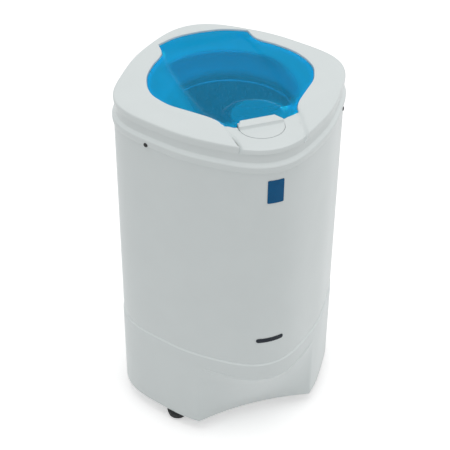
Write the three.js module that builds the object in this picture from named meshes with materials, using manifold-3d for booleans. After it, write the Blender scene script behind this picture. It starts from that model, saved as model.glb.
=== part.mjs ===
// Laundry spin dryer: a soft-square column with a scooped base, a lid hinged at the back of a
// white top ring, and a perforated basket spun by a motor that stands on three springs.
// Millimetres, +Z up, the floor at z = 0, the latch corner towards -Y.

import * as THREE from 'three';
import { mergeVertices } from 'three/addons/utils/BufferGeometryUtils.js';
import Module from 'manifold-3d';

const wasm = await Module();
wasm.setup();

// ---------------------------------------------------------------- driving dimensions

// The column's plan outline: a rounded square standing on its corners.
const HALF_WIDTH = 212.5;
const HALF_DEPTH = 224.5;
const CORNER_RISE = 11.7;
const SHOULDER = 2.1;
const OUTLINE_STEPS = 40;

// Heights up the column.
const FOOT_DROP = 24;
const BASE_HEIGHT = 177;
const CABINET_HEIGHT = 427.5;
const BAND_HEIGHT = 22;
const COVE_HEIGHT = 13;
const RING_EDGE = 14.5;

// Walls and running clearances.
const CASE_WALL = 3;
const SEAT_GAP = 0.3;
const CABINET_INSET = 1;
const SPIGOT_HEIGHT = 14;
const SEAM_GAP = 1.2;
const SEAM_ROUND = 2;
const FACET_ROOM = 2;

// The scoop between the two front ridges of the base.
const RIDGE_ANGLE = 36;
const SCOOP_HEIGHT = 142;
const SCOOP_LIFT_AT_RIDGE = 6;
const SCOOP_HOLLOW = 14;

// Base deck, feet.
const DECK_UNDERSIDE = 46;
const DECK_THICKNESS = 4;
const FOOT_RADIUS = 18;
const FOOT_INSET = 19;
const FOOT_ANGLE = 54;
const FOOT_STEM = 5;
const FOOT_STEM_LENGTH = 12;
const FOOT_BOSS_WALL = 3.5;

// Collar cove and top ring.
const COVE_INSET = 5.5;
const RING_INSET = 1.5;
const RING_PLATE = 4;
const LIP_WALL = 2.5;
const LEDGE_WIDTH = 6;
const LEDGE_THICKNESS = 3;
const WINDOW_WALL = 3;

// Lid.
const LID_THICKNESS = 2.8;
const LID_EDGE_GAP = 1.5;
const LID_SINK = 3.6;
// The ring's width beside, behind and in front of the lid.
const RING_SIDE = 58.5;
const RING_BACK = 31.5;
const RING_FRONT = 88.5;
// Half of the lid's outline on the +X side, as shares of the lid's half width and of its reach
// to the back or front: the back of its tongue, then its wing down to the latch.
const TONGUE_BACK = [[0, 1], [0.227, 0.987], [0.409, 0.953], [0.558, 0.886], [0.591, 0.829]];
const WING = [
  [0.591, 0.715], [0.747, 0.585], [0.922, 0.389], [1, 0.192], [0.994, 0.016], [0.929, -0.184],
  [0.786, -0.375], [0.63, -0.559], [0.526, -0.728], [0.448, -0.875],
];
const HORN_CLEARANCE = 5;
const HINGE_SETBACK = 30;
const HINGE_BARREL = 4.5;
const HINGE_PIN = 2;
const HINGE_PIN_LENGTH = 17;
const HINGE_LUG = 14;
const PIN_CLEARANCE = 0.3;

// Latch panel and lever at the front corner.
const PANEL_BACK_HALF = 66;
const PANEL_FRONT_HALF = 57;
const PANEL_SETBACK = 16;
const PANEL_SINK = 4;
const PANEL_WALL = 3.5;
const PANEL_EDGE = 14;
const LEVER_HALF = 38;
const LEVER_NOTCH = 10;
const LEVER_RIDGE_DEPTH = 21;
const LEVER_RIDGE_RISE = 7;
const LEVER_DEPTH = 58;
const LEVER_PLATE = 3;
const LEVER_PIVOT_SETBACK = 24;
const LEVER_PIVOT_DROP = 8;
const LEVER_BARREL = 4;
const LATCH_PIN = 1.6;
const LATCH_GAP = 1;
const SHELF_DROP = 19;

// Funnel, tub and basket.
const FUNNEL_WALL = 2.5;
const FUNNEL_OVERHANG = 4;
const FUNNEL_DISH = 7;
const FUNNEL_SLOPE = 17;
const TUB_ROOM = 57.5;
const TUB_WALL = 2.5;
const TUB_FLOOR_ROOM = 33.7;
const TUB_TOP_GAP = 6;
const TUB_THROAT = 34;
const WINDOW_HALF_ANGLE = 22;
const BASKET_SWAY = 17.5;
const BASKET_WALL = 1.5;
const BASKET_FLOOR_ROOM = 38;
const BASKET_LIP = 18;
const BASKET_TOP_GAP = 8.3;
const BASKET_HOLE = 3.5;
const HOLE_ROWS = 4;
const HOLES_AROUND = 12;

// Drive: motor, springs, shafts, brake.
const SPRING_HEIGHT = 38;
const SPRING_OUTREACH = 44;
const SPRING_RADIUS = 12;
const SPRING_WIRE = 1.7;
const SPRING_TURNS = 3;
const STUD_RADIUS = 4;
const PLATE_THICKNESS = 4;
const MOTOR_RADIUS = 62;
const MOTOR_HEIGHT = 96;
const MOTOR_WALL = 2;
const END_BELL = 7;
const STATOR_BORE = 34;
const ROTOR_RADIUS = 33.4;
const STACK_HEIGHT = 52;
const SHAFT_RADIUS = 6;
const BEARING_RADIUS = 15;
const BEARING_HEIGHT = 8;
const FAN_RADIUS = 46;
const FAN_HEIGHT = 12;
const BRAKE_RADIUS = 48;
const BRAKE_HEIGHT = 18;
const BRAKE_GAP = 3;
const BRAKE_SHOE = 8;
const BRAKE_ARM = 60;
const BRAKE_LEVER_HEIGHT = 9;
const BRAKE_PIN = 2.6;
const WINDING_HEIGHT = 12;
const WINDING_WALL = 10;
const HUB_RADIUS = 40;
const HUB_HEIGHT = 10;
const BUSH_RADIUS = 12;
const BUSH_HEIGHT = 24;

// Drain.
const DRAIN_RADIUS = 11;
const DRAIN_WALL = 2.5;
const DRAIN_INSET = 20;
const DRAIN_RISE = 68;
const DRAIN_FLANGE = 16;

// Screws, plate and badge.
const SCREW_ANGLE = 66;
const SCREW_HEAD = 4;
const SCREW_SHANK = 1.8;
const SCREW_LENGTH = 7;
const LABEL_WIDTH = 29;
const LABEL_HEIGHT = 46;
const LABEL_DROP = 15.5;
const BADGE_WIDTH = 52;
const BADGE_HEIGHT = 9;
const BADGE_RISE = 59;
const PLATE_PROUD = 0.6;

// Lid switch, brake cable and electrics.
const SWITCH_ASIDE = 20;
const SWITCH_SETBACK = 30;
const SWITCH_HEIGHT = 18;
const PLUNGER = 2.6;
const CABLE_ANGLE = 45;
const CABLE_THICKNESS = 4;
const CORD_GLAND = 6;
const CORD_ANGLE = 129;
const CAPACITOR_ANGLE = 90;
const CAPACITOR_RADIUS = 18;
const CAPACITOR_HEIGHT = 80;
const CLAMP_WALL = 2.7;
const CLAMP_HEIGHT = 20;
const TERMINAL_ANGLE = 135;
const TERMINAL_LENGTH = 40;
const TERMINAL_WIDTH = 18;
const TERMINAL_HEIGHT = 16;

// ---------------------------------------------------------------- derived heights

const SEAM = FOOT_DROP + BASE_HEIGHT;
const COLLAR_FOOT = SEAM + CABINET_HEIGHT;
const RIM = COLLAR_FOOT + BAND_HEIGHT;
const COVE_TOP = RIM + COVE_HEIGHT;
const RING_TOP = COVE_TOP + RING_EDGE;
const RING_UNDERSIDE = RING_TOP - RING_PLATE;
const LID_TOP = RING_TOP - LID_SINK;
const LID_UNDERSIDE = LID_TOP - LID_THICKNESS;
const LEDGE_TOP = LID_UNDERSIDE - SEAT_GAP;
const LEDGE_UNDERSIDE = LEDGE_TOP - LEDGE_THICKNESS;
const HINGE_Z = LID_UNDERSIDE - 1.5;
const LID_HALF = HALF_WIDTH - RING_SIDE;
const LID_BACK = HALF_DEPTH - RING_BACK;
const LID_FRONT = HALF_DEPTH - RING_FRONT;
const HINGE_Y = LID_BACK - HINGE_SETBACK;
const PANEL_BACK_Y = PANEL_SETBACK - LID_FRONT;
const LEVER_BACK_Y = LEVER_NOTCH - LID_FRONT;
const LEVER_PIVOT_Y = LEVER_BACK_Y - LEVER_PIVOT_SETBACK;
const LEVER_PLATE_END = LEVER_BACK_Y - LEVER_DEPTH;
const SWITCH_X = LEVER_HALF + SWITCH_ASIDE;
const SWITCH_Y = SWITCH_SETBACK - LID_FRONT;
const PANEL_TOP = RING_TOP - PANEL_SINK;
const SHELF_TOP = RING_TOP - SHELF_DROP;
const LEVER_PIVOT_Z = PANEL_TOP - LEVER_PIVOT_DROP;
const SPIGOT_TOP = COLLAR_FOOT + SPIGOT_HEIGHT;
const FUNNEL_FLANGE = SPIGOT_TOP + SEAT_GAP;
const FUNNEL_FLOOR = FUNNEL_FLANGE + FUNNEL_WALL - FUNNEL_DISH;
const FUNNEL_BOTTOM = FUNNEL_FLOOR - FUNNEL_SLOPE;
const DECK_TOP = DECK_UNDERSIDE + DECK_THICKNESS;
const MOTOR_PLATE = DECK_TOP + SPRING_HEIGHT;
const MOTOR_FOOT = MOTOR_PLATE + PLATE_THICKNESS + SEAT_GAP;
const MOTOR_TOP = MOTOR_FOOT + MOTOR_HEIGHT;
const STACK_FOOT = MOTOR_FOOT + (MOTOR_HEIGHT - STACK_HEIGHT) / 2;
const BRAKE_FOOT = MOTOR_TOP + 12;
const BRAKE_TOP = BRAKE_FOOT + BRAKE_HEIGHT;
const TUB_RADIUS = HALF_WIDTH - CASE_WALL - TUB_ROOM;
const TUB_FLOOR = BRAKE_TOP + TUB_FLOOR_ROOM;
const BASKET_RADIUS = TUB_RADIUS - TUB_WALL - BASKET_SWAY;
const BASKET_MOUTH = BASKET_RADIUS - BASKET_LIP;
const BASKET_FLOOR = TUB_FLOOR + BASKET_FLOOR_ROOM;
const BASKET_TOP = FUNNEL_BOTTOM - BASKET_TOP_GAP;
const FUNNEL_MOUTH = BASKET_MOUTH + FUNNEL_OVERHANG;
const SPRING_CIRCLE = MOTOR_RADIUS + SPRING_OUTREACH;
const DRAIN_Y = TUB_RADIUS - DRAIN_INSET;
const DRAIN_AXIS = DECK_TOP + DRAIN_RISE;
const LABEL_CENTRE = COLLAR_FOOT - LABEL_DROP - LABEL_HEIGHT / 2;
const BADGE_CENTRE = SEAM + BADGE_RISE;
const SHAFT_TOP = BASKET_FLOOR + 14;
const HUB_BORE = SHAFT_RADIUS + 2;
const TUB_TOP = FUNNEL_FLOOR - FUNNEL_WALL - TUB_TOP_GAP;

const machine = new THREE.Group();

// ---------------------------------------------------------------- materials

function finish(color, roughness, metalness = 0) {
  return new THREE.MeshStandardMaterial({ color, roughness, metalness });
}

const whitePlastic = finish(0xd6dcdc, 0.35);
const bluePlastic = new THREE.MeshStandardMaterial({
  color: 0x1487c0, roughness: 0.12, metalness: 0, transparent: true, opacity: 0.6,
});
const blackRubber = finish(0x0b0d0e, 0.75);
const blackPlastic = finish(0x16181a, 0.5);
const steel = finish(0x9fa3a6, 0.35, 1);
const stainless = finish(0xb9bdbf, 0.28, 1);
const darkSteel = finish(0x4a4d50, 0.45, 1);
const castAluminium = finish(0x8f9498, 0.5, 1);
const galvanised = finish(0x8a8f92, 0.45, 1);
const copper = finish(0xa65a2a, 0.4, 1);
const labelBlue = finish(0x134d75, 0.4);
const badgeGrey = finish(0x2b3038, 0.4);

// ---------------------------------------------------------------- shape helpers

// Adds one named sub-part to the machine.
function part(name, shape, material) {
  const geometry = shape.isBufferGeometry ? shape : geometryOf(shape);
  const mesh = new THREE.Mesh(geometry, material);
  mesh.name = name;
  machine.add(mesh);
}

// Position-only copy with shared corners merged, faces pointing outwards and no empty triangle.
function closedMesh(geometry) {
  const bare = new THREE.BufferGeometry();
  bare.setAttribute('position', geometry.getAttribute('position').clone());
  if (geometry.index) bare.setIndex(geometry.index.clone());
  const merged = mergeVertices(bare, 1e-4);
  const index = merged.index.array;
  const kept = [];
  for (let i = 0; i < index.length; i += 3) {
    const [a, b, c] = [index[i], index[i + 1], index[i + 2]];
    if (a !== b && b !== c && c !== a) kept.push(a, b, c);
  }
  if (signedVolume(merged, kept) < 0) kept.reverse();
  merged.setIndex(kept);
  return merged;
}

function signedVolume(geometry, index) {
  const position = geometry.getAttribute('position');
  const corner = [new THREE.Vector3(), new THREE.Vector3(), new THREE.Vector3()];
  let volume = 0;
  for (let i = 0; i < index.length; i += 3) {
    corner.forEach((point, k) => point.fromBufferAttribute(position, index[i + k]));
    volume += corner[0].dot(corner[1].cross(corner[2])) / 6;
  }
  return volume;
}

function solidOf(geometry) {
  const mesh = closedMesh(geometry);
  return new wasm.Manifold(new wasm.Mesh({
    numProp: 3,
    vertProperties: Float32Array.from(mesh.getAttribute('position').array),
    triVerts: Uint32Array.from(mesh.index.array),
  }));
}

function geometryOf(solid) {
  const mesh = solid.getMesh();
  const geometry = new THREE.BufferGeometry();
  geometry.setAttribute('position', new THREE.BufferAttribute(mesh.vertProperties, 3));
  geometry.setIndex(new THREE.BufferAttribute(mesh.triVerts, 1));
  return geometry;
}

// Joins any number of solids.
function join(...solids) {
  return solids.reduce((sum, solid) => sum.add(solid));
}

// Cuts any number of tools out of a solid.
function cut(solid, ...tools) {
  return tools.reduce((rest, tool) => rest.subtract(tool), solid);
}

// Upright cylinder or cone standing at z = low.
function post(radius, low, high, x = 0, y = 0, sides = 14, topRadius = radius) {
  const geometry = new THREE.CylinderGeometry(topRadius, radius, high - low, sides);
  geometry.rotateX(Math.PI / 2);
  geometry.translate(x, y, (low + high) / 2);
  return solidOf(geometry);
}

// Cylinder between two points.
function rod(from, to, radius, sides = 14) {
  const start = new THREE.Vector3(...from);
  const run = new THREE.Vector3(...to).sub(start);
  const geometry = new THREE.CylinderGeometry(radius, radius, run.length(), sides);
  const turn = new THREE.Quaternion().setFromUnitVectors(
    new THREE.Vector3(0, 1, 0), run.clone().normalize());
  geometry.applyQuaternion(turn);
  geometry.translate(...start.addScaledVector(run, 0.5).toArray());
  return solidOf(geometry);
}

function box(low, high) {
  const size = high.map((value, k) => value - low[k]);
  const geometry = new THREE.BoxGeometry(...size);
  geometry.translate(...low.map((value, k) => value + size[k] / 2));
  return solidOf(geometry);
}

// Solid turned about Z from a profile of [radius, z] points that closes on itself.
function turned(profile, sides = 36) {
  const points = profile.map(([radius, z]) => new THREE.Vector2(radius, z));
  points.push(points[0].clone());
  const geometry = new THREE.LatheGeometry(points, sides);
  geometry.rotateX(Math.PI / 2);
  return solidOf(geometry);
}

// Flat outline of [x, y] points made into a slab between two heights.
function slab(outline, low, high) {
  const shape = new THREE.Shape(outline.map(([x, y]) => new THREE.Vector2(x, y)));
  const geometry = new THREE.ExtrudeGeometry(shape, { depth: high - low, bevelEnabled: false });
  geometry.translate(0, 0, low);
  return solidOf(geometry);
}

// Solid through rings of points. Without wrap its two ends are closed by fans. The squares of its
// first half are split along the other diagonal than those of its second, so it is even-handed.
function loft(rings, wrap = true) {
  const count = rings[0].length;
  const positions = rings.flat(2);
  const index = [];
  const last = wrap ? rings.length : rings.length - 1;
  for (let i = 0; i < last; i += 1) {
    const low = i * count;
    const high = ((i + 1) % rings.length) * count;
    for (let j = 0; j < count; j += 1) {
      const next = (j + 1) % count;
      if (j < count / 2) index.push(low + j, low + next, high + j, low + next, high + next, high + j);
      else index.push(low + j, low + next, high + next, low + j, high + next, high + j);
    }
  }
  if (!wrap) {
    closeEnd(positions, index, rings[0], 0, true);
    closeEnd(positions, index, rings.at(-1), (rings.length - 1) * count, false);
  }
  const geometry = new THREE.BufferGeometry();
  geometry.setAttribute('position', new THREE.Float32BufferAttribute(positions, 3));
  geometry.setIndex(index);
  return solidOf(geometry);
}

function closeEnd(positions, index, ring, first, isStart) {
  const centre = [0, 1, 2].map((k) => ring.reduce((sum, point) => sum + point[k], 0) / ring.length);
  const hub = positions.length / 3;
  positions.push(...centre);
  for (let j = 0; j < ring.length; j += 1) {
    const next = (j + 1) % ring.length;
    if (isStart) index.push(hub, first + next, first + j);
    else index.push(hub, first + j, first + next);
  }
}

// Unbroken helical wire standing between two heights, 8 steps of 5 sides a turn.
function spring(radius, wire, low, high, turns, x, y) {
  class Helix extends THREE.Curve {
    getPoint(t, target = new THREE.Vector3()) {
      const angle = t * turns * 2 * Math.PI;
      const climb = low + wire + t * (high - low - 2 * wire);
      return target.set(x + radius * Math.cos(angle), y + radius * Math.sin(angle), climb);
    }
  }
  const geometry = new THREE.ExtrudeGeometry(ringShape(wire, 5), {
    steps: turns * 8, extrudePath: new Helix(), bevelEnabled: false,
  });
  return solidOf(geometry);
}

function ringShape(radius, sides) {
  const points = [];
  for (let k = 0; k < sides; k += 1) {
    const angle = (2 * Math.PI * k) / sides;
    points.push(new THREE.Vector2(radius * Math.cos(angle), radius * Math.sin(angle)));
  }
  return new THREE.Shape(points);
}

// Round bar carried along a smooth path through points.
function bar(points, radius, sides, steps) {
  const path = new THREE.CatmullRomCurve3(points.map((point) => new THREE.Vector3(...point)));
  const geometry = new THREE.ExtrudeGeometry(ringShape(radius, sides), {
    steps, extrudePath: path, bevelEnabled: false,
  });
  return solidOf(geometry);
}

// ---------------------------------------------------------------- the column's outline

const radians = THREE.MathUtils.degToRad;

// Radius of the plan outline at an angle counted from -Y towards +X.
function outlineRadius(angle, inset = 0) {
  const reach = (HALF_DEPTH - HALF_WIDTH) / 2;
  const mean = (HALF_DEPTH + HALF_WIDTH) / 2 - CORNER_RISE - SHOULDER;
  return mean + reach * Math.cos(2 * angle) + CORNER_RISE * Math.cos(4 * angle)
    + SHOULDER * Math.cos(8 * angle) - inset;
}

function atAngle(angle, radius, z) {
  return [radius * Math.sin(angle), -radius * Math.cos(angle), z];
}

// How far back the outline reaches at a distance x from the middle.
function backAt(x) {
  const angle = Math.PI - Math.asin(x / HALF_DEPTH);
  return -outlineRadius(angle) * Math.cos(angle);
}

// Unit vector that points straight out of the outline.
function outlineNormal(angle) {
  const step = 1e-3;
  const [x0, y0] = atAngle(angle - step, outlineRadius(angle - step), 0);
  const [x1, y1] = atAngle(angle + step, outlineRadius(angle + step), 0);
  const length = Math.hypot(x1 - x0, y1 - y0);
  return [(y1 - y0) / length, (x0 - x1) / length];
}

// The column's outline, moved inwards by inset, as a ring of points at height z.
function outlineRing(inset, z) {
  return circleAngles().map((angle) => atAngle(angle, outlineRadius(angle, inset), z));
}

function roundRing(radius, z) {
  return circleAngles().map((angle) => atAngle(angle, radius, z));
}

function circleAngles() {
  return Array.from({ length: OUTLINE_STEPS }, (_, k) => (2 * Math.PI * k) / OUTLINE_STEPS);
}

// A point halfway between the tub and the case's wall, at an angle from the front in degrees.
function besideTub(degrees, z = 0) {
  const angle = radians(degrees);
  return atAngle(angle, (TUB_RADIUS + outlineRadius(angle, CASE_WALL)) / 2, z);
}

// A shell of the column from a closed profile of [inset, z] points, up the outside first.
function columnShell(profile) {
  return loft(profile.map(([inset, z]) => outlineRing(inset, z)));
}

// ---------------------------------------------------------------- base, feet, cabinet

// Signed angle from the front, -pi to pi.
function fromFront(angle) {
  return angle > Math.PI ? angle - 2 * Math.PI : angle;
}

// One ring of the base wall. level runs from 0 at the skirt's edge to 1 at the scoop's top edge,
// and between the two the scoop is a ruled face. Its wall is as thick all over.
function skirtRing(inset, level) {
  const ridge = radians(RIDGE_ANGLE);
  const [ridgeX, ridgeY] = atAngle(ridge, outlineRadius(ridge), 0);
  return circleAngles().map((angle) => {
    const aside = Math.abs(fromFront(angle)) / ridge;
    const lift = SCOOP_LIFT_AT_RIDGE * Math.min(aside, 1) ** 2;
    const height = FOOT_DROP + level * (SCOOP_HEIGHT + lift);
    if (aside >= 1) return atAngle(angle, outlineRadius(angle, inset), height);
    const [x, y] = atAngle(angle, outlineRadius(angle), 0);
    const innermost = ridgeY + SCOOP_HOLLOW * (1 - (x / ridgeX) ** 2);
    return [x, innermost + (y - innermost) * level + inset, height];
  });
}

// Solid column whose foot is scooped, from a level of the skirt up through further rings.
function scoopedColumn(inset, level, rings = []) {
  const levels = [level, 0, 1 / 3, 2 / 3, 1].filter((step, k) => k === 0 || step > level);
  return loft([...levels.map((step) => skirtRing(inset, step)), ...rings], false);
}

function footPlaces() {
  const angle = radians(FOOT_ANGLE);
  const [x, front] = atAngle(angle, outlineRadius(angle, FOOT_INSET), 0);
  const y = -front;
  return [['front_left', -x, -y], ['front_right', x, -y], ['rear_left', -x, y], ['rear_right', x, y]];
}

function springPlaces() {
  return [90, 210, 330].map((degrees) => {
    const angle = radians(degrees);
    return [SPRING_CIRCLE * Math.cos(angle), SPRING_CIRCLE * Math.sin(angle)];
  });
}

function makeBase() {
  const neck = CABINET_INSET + CASE_WALL + SEAT_GAP;
  const top = SEAM + SPIGOT_HEIGHT;
  const outside = scoopedColumn(0, 0, [
    outlineRing(0, SEAM - SEAM_ROUND), outlineRing(CABINET_INSET, SEAM), outlineRing(neck, SEAM),
    outlineRing(neck, top),
  ]);
  const inside = scoopedColumn(CASE_WALL, -0.1, [
    outlineRing(CASE_WALL, SEAM - 10), outlineRing(neck + CASE_WALL, SEAM - 4),
    outlineRing(neck + CASE_WALL, top + 1),
  ]);
  const deck = scoopedColumn(CASE_WALL / 2, 0).intersect(
    box([-HALF_DEPTH, -HALF_DEPTH, DECK_UNDERSIDE], [HALF_DEPTH, HALF_DEPTH, DECK_TOP]));
  const bosses = footPlaces().map(([, x, y]) => post(
    FOOT_STEM + FOOT_BOSS_WALL, FOOT_DROP + SEAT_GAP, DECK_UNDERSIDE + 1, x, y, 12));
  const sockets = footPlaces().map(([, x, y]) => post(
    FOOT_STEM + SEAT_GAP, FOOT_DROP - 1, FOOT_DROP + FOOT_STEM_LENGTH + 2 * SEAT_GAP, x, y, 12));
  const studHoles = springPlaces().map(([x, y]) => post(
    STUD_RADIUS + SEAT_GAP, DECK_UNDERSIDE - 1, DECK_TOP + 1, x, y, 12));
  const drainHole = rod([0, DRAIN_Y, DRAIN_AXIS], [0, HALF_DEPTH + 5, DRAIN_AXIS],
    DRAIN_RADIUS + SEAT_GAP, 18);
  const [cordX, cordY] = cordPlace();
  const cordHole = rod([cordX * 0.8, cordY * 0.8, DRAIN_AXIS], [cordX * 1.1, cordY * 1.1, DRAIN_AXIS],
    CORD_GLAND + SEAT_GAP, 16);
  const airHole = post(FAN_RADIUS - 6, DECK_UNDERSIDE - 1, DECK_TOP + 1, 0, 0, 24);
  part('base', cut(join(cut(outside, inside), deck, ...bosses), ...sockets, ...studHoles, drainHole,
    cordHole, airHole), whitePlastic);
}

// Where the supply cord leaves the base, on the outline.
function cordPlace() {
  const angle = radians(CORD_ANGLE);
  return atAngle(angle, outlineRadius(angle), DRAIN_AXIS);
}

function makeFeet() {
  for (const [name, x, y] of footPlaces()) {
    const pad = post(FOOT_RADIUS * 0.62, 0, 5, x, y, 16, FOOT_RADIUS * 0.9);
    const body = post(FOOT_RADIUS * 0.9, 5, 12, x, y, 16, FOOT_RADIUS);
    const crown = post(FOOT_RADIUS, 12, FOOT_DROP, x, y, 16);
    const stem = post(FOOT_STEM, FOOT_DROP - 1, FOOT_DROP + FOOT_STEM_LENGTH, x, y, 12);
    part(`foot_${name}`, join(pad, body, crown, stem), blackRubber);
  }
}

function makeCabinet() {
  const outer = CABINET_INSET;
  const inner = CABINET_INSET + CASE_WALL;
  const neck = CASE_WALL + SEAT_GAP;
  const top = COLLAR_FOOT - SEAM_GAP;
  const shell = columnShell([
    [outer, SEAM + SEAT_GAP],
    [outer, top - 1.5],
    [neck, top],
    [neck, SPIGOT_TOP],
    [neck + CASE_WALL, SPIGOT_TOP],
    [neck + CASE_WALL, top - 8],
    [inner, top - 14],
    [inner, SEAM + SEAT_GAP],
  ]);
  part('cabinet', cut(shell, ...screwHoles(SCREW_SHANK + SEAT_GAP)), whitePlastic);
}

// ---------------------------------------------------------------- collar and its screws

function screwAxes() {
  const z = (COLLAR_FOOT + COLLAR_FOOT + SPIGOT_HEIGHT) / 2;
  return [
    ['front_left', -SCREW_ANGLE], ['front_right', SCREW_ANGLE],
    ['rear_left', SCREW_ANGLE - 180], ['rear_right', 180 - SCREW_ANGLE],
  ].map(([name, degrees]) => {
    const angle = radians(degrees);
    const [x, y] = atAngle(angle, outlineRadius(angle), z);
    const [outX, outY] = outlineNormal(angle);
    return { name, place: (out) => [x + outX * out, y + outY * out, z] };
  });
}

function screwHoles(radius) {
  return screwAxes().map(({ place }) => rod(place(-20), place(6), radius, 10));
}

function makeCollar() {
  const shell = columnShell([
    [0, COLLAR_FOOT],
    [0, RIM - 3],
    [1, RIM],
    [3.5, RIM + 2.5],
    [COVE_INSET - 1, RIM + 6],
    [COVE_INSET, COVE_TOP - 2],
    [COVE_INSET, RING_UNDERSIDE - SEAT_GAP],
    [COVE_INSET + CASE_WALL, RING_UNDERSIDE - SEAT_GAP],
    [COVE_INSET + CASE_WALL, RIM + 4],
    [CASE_WALL + 3, RIM - 1],
    [CASE_WALL, RIM - 4],
    [CASE_WALL, COLLAR_FOOT],
  ]);
  const panelSeat = panelSector(LATCH_GAP, COVE_TOP + 1, RING_TOP);
  part('collar', cut(shell, panelSeat, ...screwHoles(SCREW_SHANK + SEAT_GAP)), whitePlastic);
}

function makeScrews() {
  for (const { name, place } of screwAxes()) {
    const head = rod(place(SEAT_GAP), place(SEAT_GAP + 2), SCREW_HEAD, 10);
    const shank = rod(place(SEAT_GAP + 1), place(SEAT_GAP + 1 - SCREW_LENGTH), SCREW_SHANK, 10);
    part(`collar_screw_${name}`, join(head, shank), blackPlastic);
  }
}

// ---------------------------------------------------------------- lid window, lid, hinge

// The lid's outline as a closed list of points, grown outwards by a margin.
function lidOutline(margin) {
  const right = smoothSides();
  const left = right.slice(1).reverse().map(([x, y]) => [-x, y]);
  return grown([...right.slice().reverse(), ...left.slice().reverse()], margin);
}

// Rounds the sweep of the wing and the back, and keeps the tongue's sides straight.
function smoothSides() {
  const back = new THREE.SplineCurve(vectors(TONGUE_BACK.map(lidPoint)));
  const wing = new THREE.SplineCurve(vectors(WING.map(lidPoint)));
  return [...[...back.getPoints(6), ...wing.getPoints(16)].map(({ x, y }) => [x, y]), horn()];
}

// Place of a point given as shares of the lid's half width and of its reach to the back or front.
function lidPoint([across, along]) {
  return [across * LID_HALF, along * (along > 0 ? LID_BACK : LID_FRONT)];
}

// The lid's foremost corner, beside the latch lever.
function horn() {
  return [LEVER_HALF + HORN_CLEARANCE, -LID_FRONT];
}

function vectors(points) {
  return points.map(([x, y]) => new THREE.Vector2(x, y));
}

// Moves each point of a clockwise or anticlockwise outline outwards along its corner's bisector.
function grown(points, margin) {
  const area = THREE.ShapeUtils.area(vectors(points));
  const side = Math.sign(area) * margin;
  return points.map(([x, y], k) => {
    const before = points.at(k - 1);
    const after = points[(k + 1) % points.length];
    const first = new THREE.Vector2(x - before[0], y - before[1]).normalize();
    const second = new THREE.Vector2(after[0] - x, after[1] - y).normalize();
    const normal = new THREE.Vector2(first.y + second.y, -first.x - second.x).normalize();
    const stretch = 1 / Math.max(0.5, Math.sqrt((1 + first.dot(second)) / 2));
    return [x + normal.x * side * stretch, y + normal.y * side * stretch];
  });
}

// The space of the latch panel between its two side lines, out past the column's front.
function panelSector(margin, low, high, backMargin = margin) {
  const front = -HALF_DEPTH - 10;
  const slope = (PANEL_BACK_HALF - PANEL_FRONT_HALF) / (HALF_DEPTH + PANEL_BACK_Y);
  const backHalf = PANEL_BACK_HALF + margin;
  const frontHalf = backHalf + slope * (front - PANEL_BACK_Y);
  const [hornX, hornY] = horn();
  const back = [[backHalf, PANEL_BACK_Y], [hornX, hornY - LID_EDGE_GAP]];
  return slab([
    [-frontHalf, front], [frontHalf, front],
    ...back.map(([x, y]) => [x, y + backMargin]),
    ...back.reverse().map(([x, y]) => [-x, y + backMargin]),
  ], low, high);
}

// The lever's plan: a straight back edge and a rounded push plate in front.
function leverPlan(margin) {
  const half = LEVER_HALF + margin;
  const depth = LEVER_BACK_Y - LEVER_RIDGE_DEPTH - LEVER_PLATE_END + margin;
  const straight = LEVER_BACK_Y - LEVER_RIDGE_DEPTH;
  const arc = Array.from({ length: 13 }, (_, k) => {
    const angle = Math.PI + (Math.PI * k) / 12;
    return [half * Math.cos(angle), straight + depth * Math.sin(angle)];
  });
  return [...arc, [half, LEVER_BACK_Y + margin], [-half, LEVER_BACK_Y + margin]];
}

function makeLid() {
  const outline = lidOutline(0);
  const sheet = slab(outline, LID_UNDERSIDE, LID_TOP);
  const lever = slab(leverPlan(LATCH_GAP), LID_UNDERSIDE - 1, LID_TOP + 1);
  const lugs = [-1, 1].map((side) => {
    const outer = side * (tongueHalf() - 1);
    return rod([outer, HINGE_Y, HINGE_Z], [outer - side * HINGE_LUG, HINGE_Y, HINGE_Z], HINGE_BARREL);
  });
  const pinHoles = [-1, 1].map((side) => {
    const outer = side * (tongueHalf() + 1);
    return rod([outer, HINGE_Y, HINGE_Z], [outer - side * (HINGE_LUG + 3), HINGE_Y, HINGE_Z],
      HINGE_PIN + PIN_CLEARANCE);
  });
  part('lid', cut(join(sheet, ...lugs), lever, ...pinHoles), bluePlastic);
}

// Half width of the lid's tongue where the hinge line crosses it.
function tongueHalf() {
  return lidPoint(TONGUE_BACK.at(-1))[0];
}

function makeHingePins() {
  for (const [name, side] of [['left', -1], ['right', 1]]) {
    const inner = side * (tongueHalf() - HINGE_LUG + 2);
    const outer = inner + side * HINGE_PIN_LENGTH;
    part(`hinge_pin_${name}`, rod([inner, HINGE_Y, HINGE_Z], [outer, HINGE_Y, HINGE_Z], HINGE_PIN),
      steel);
  }
}

// ---------------------------------------------------------------- top ring

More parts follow.
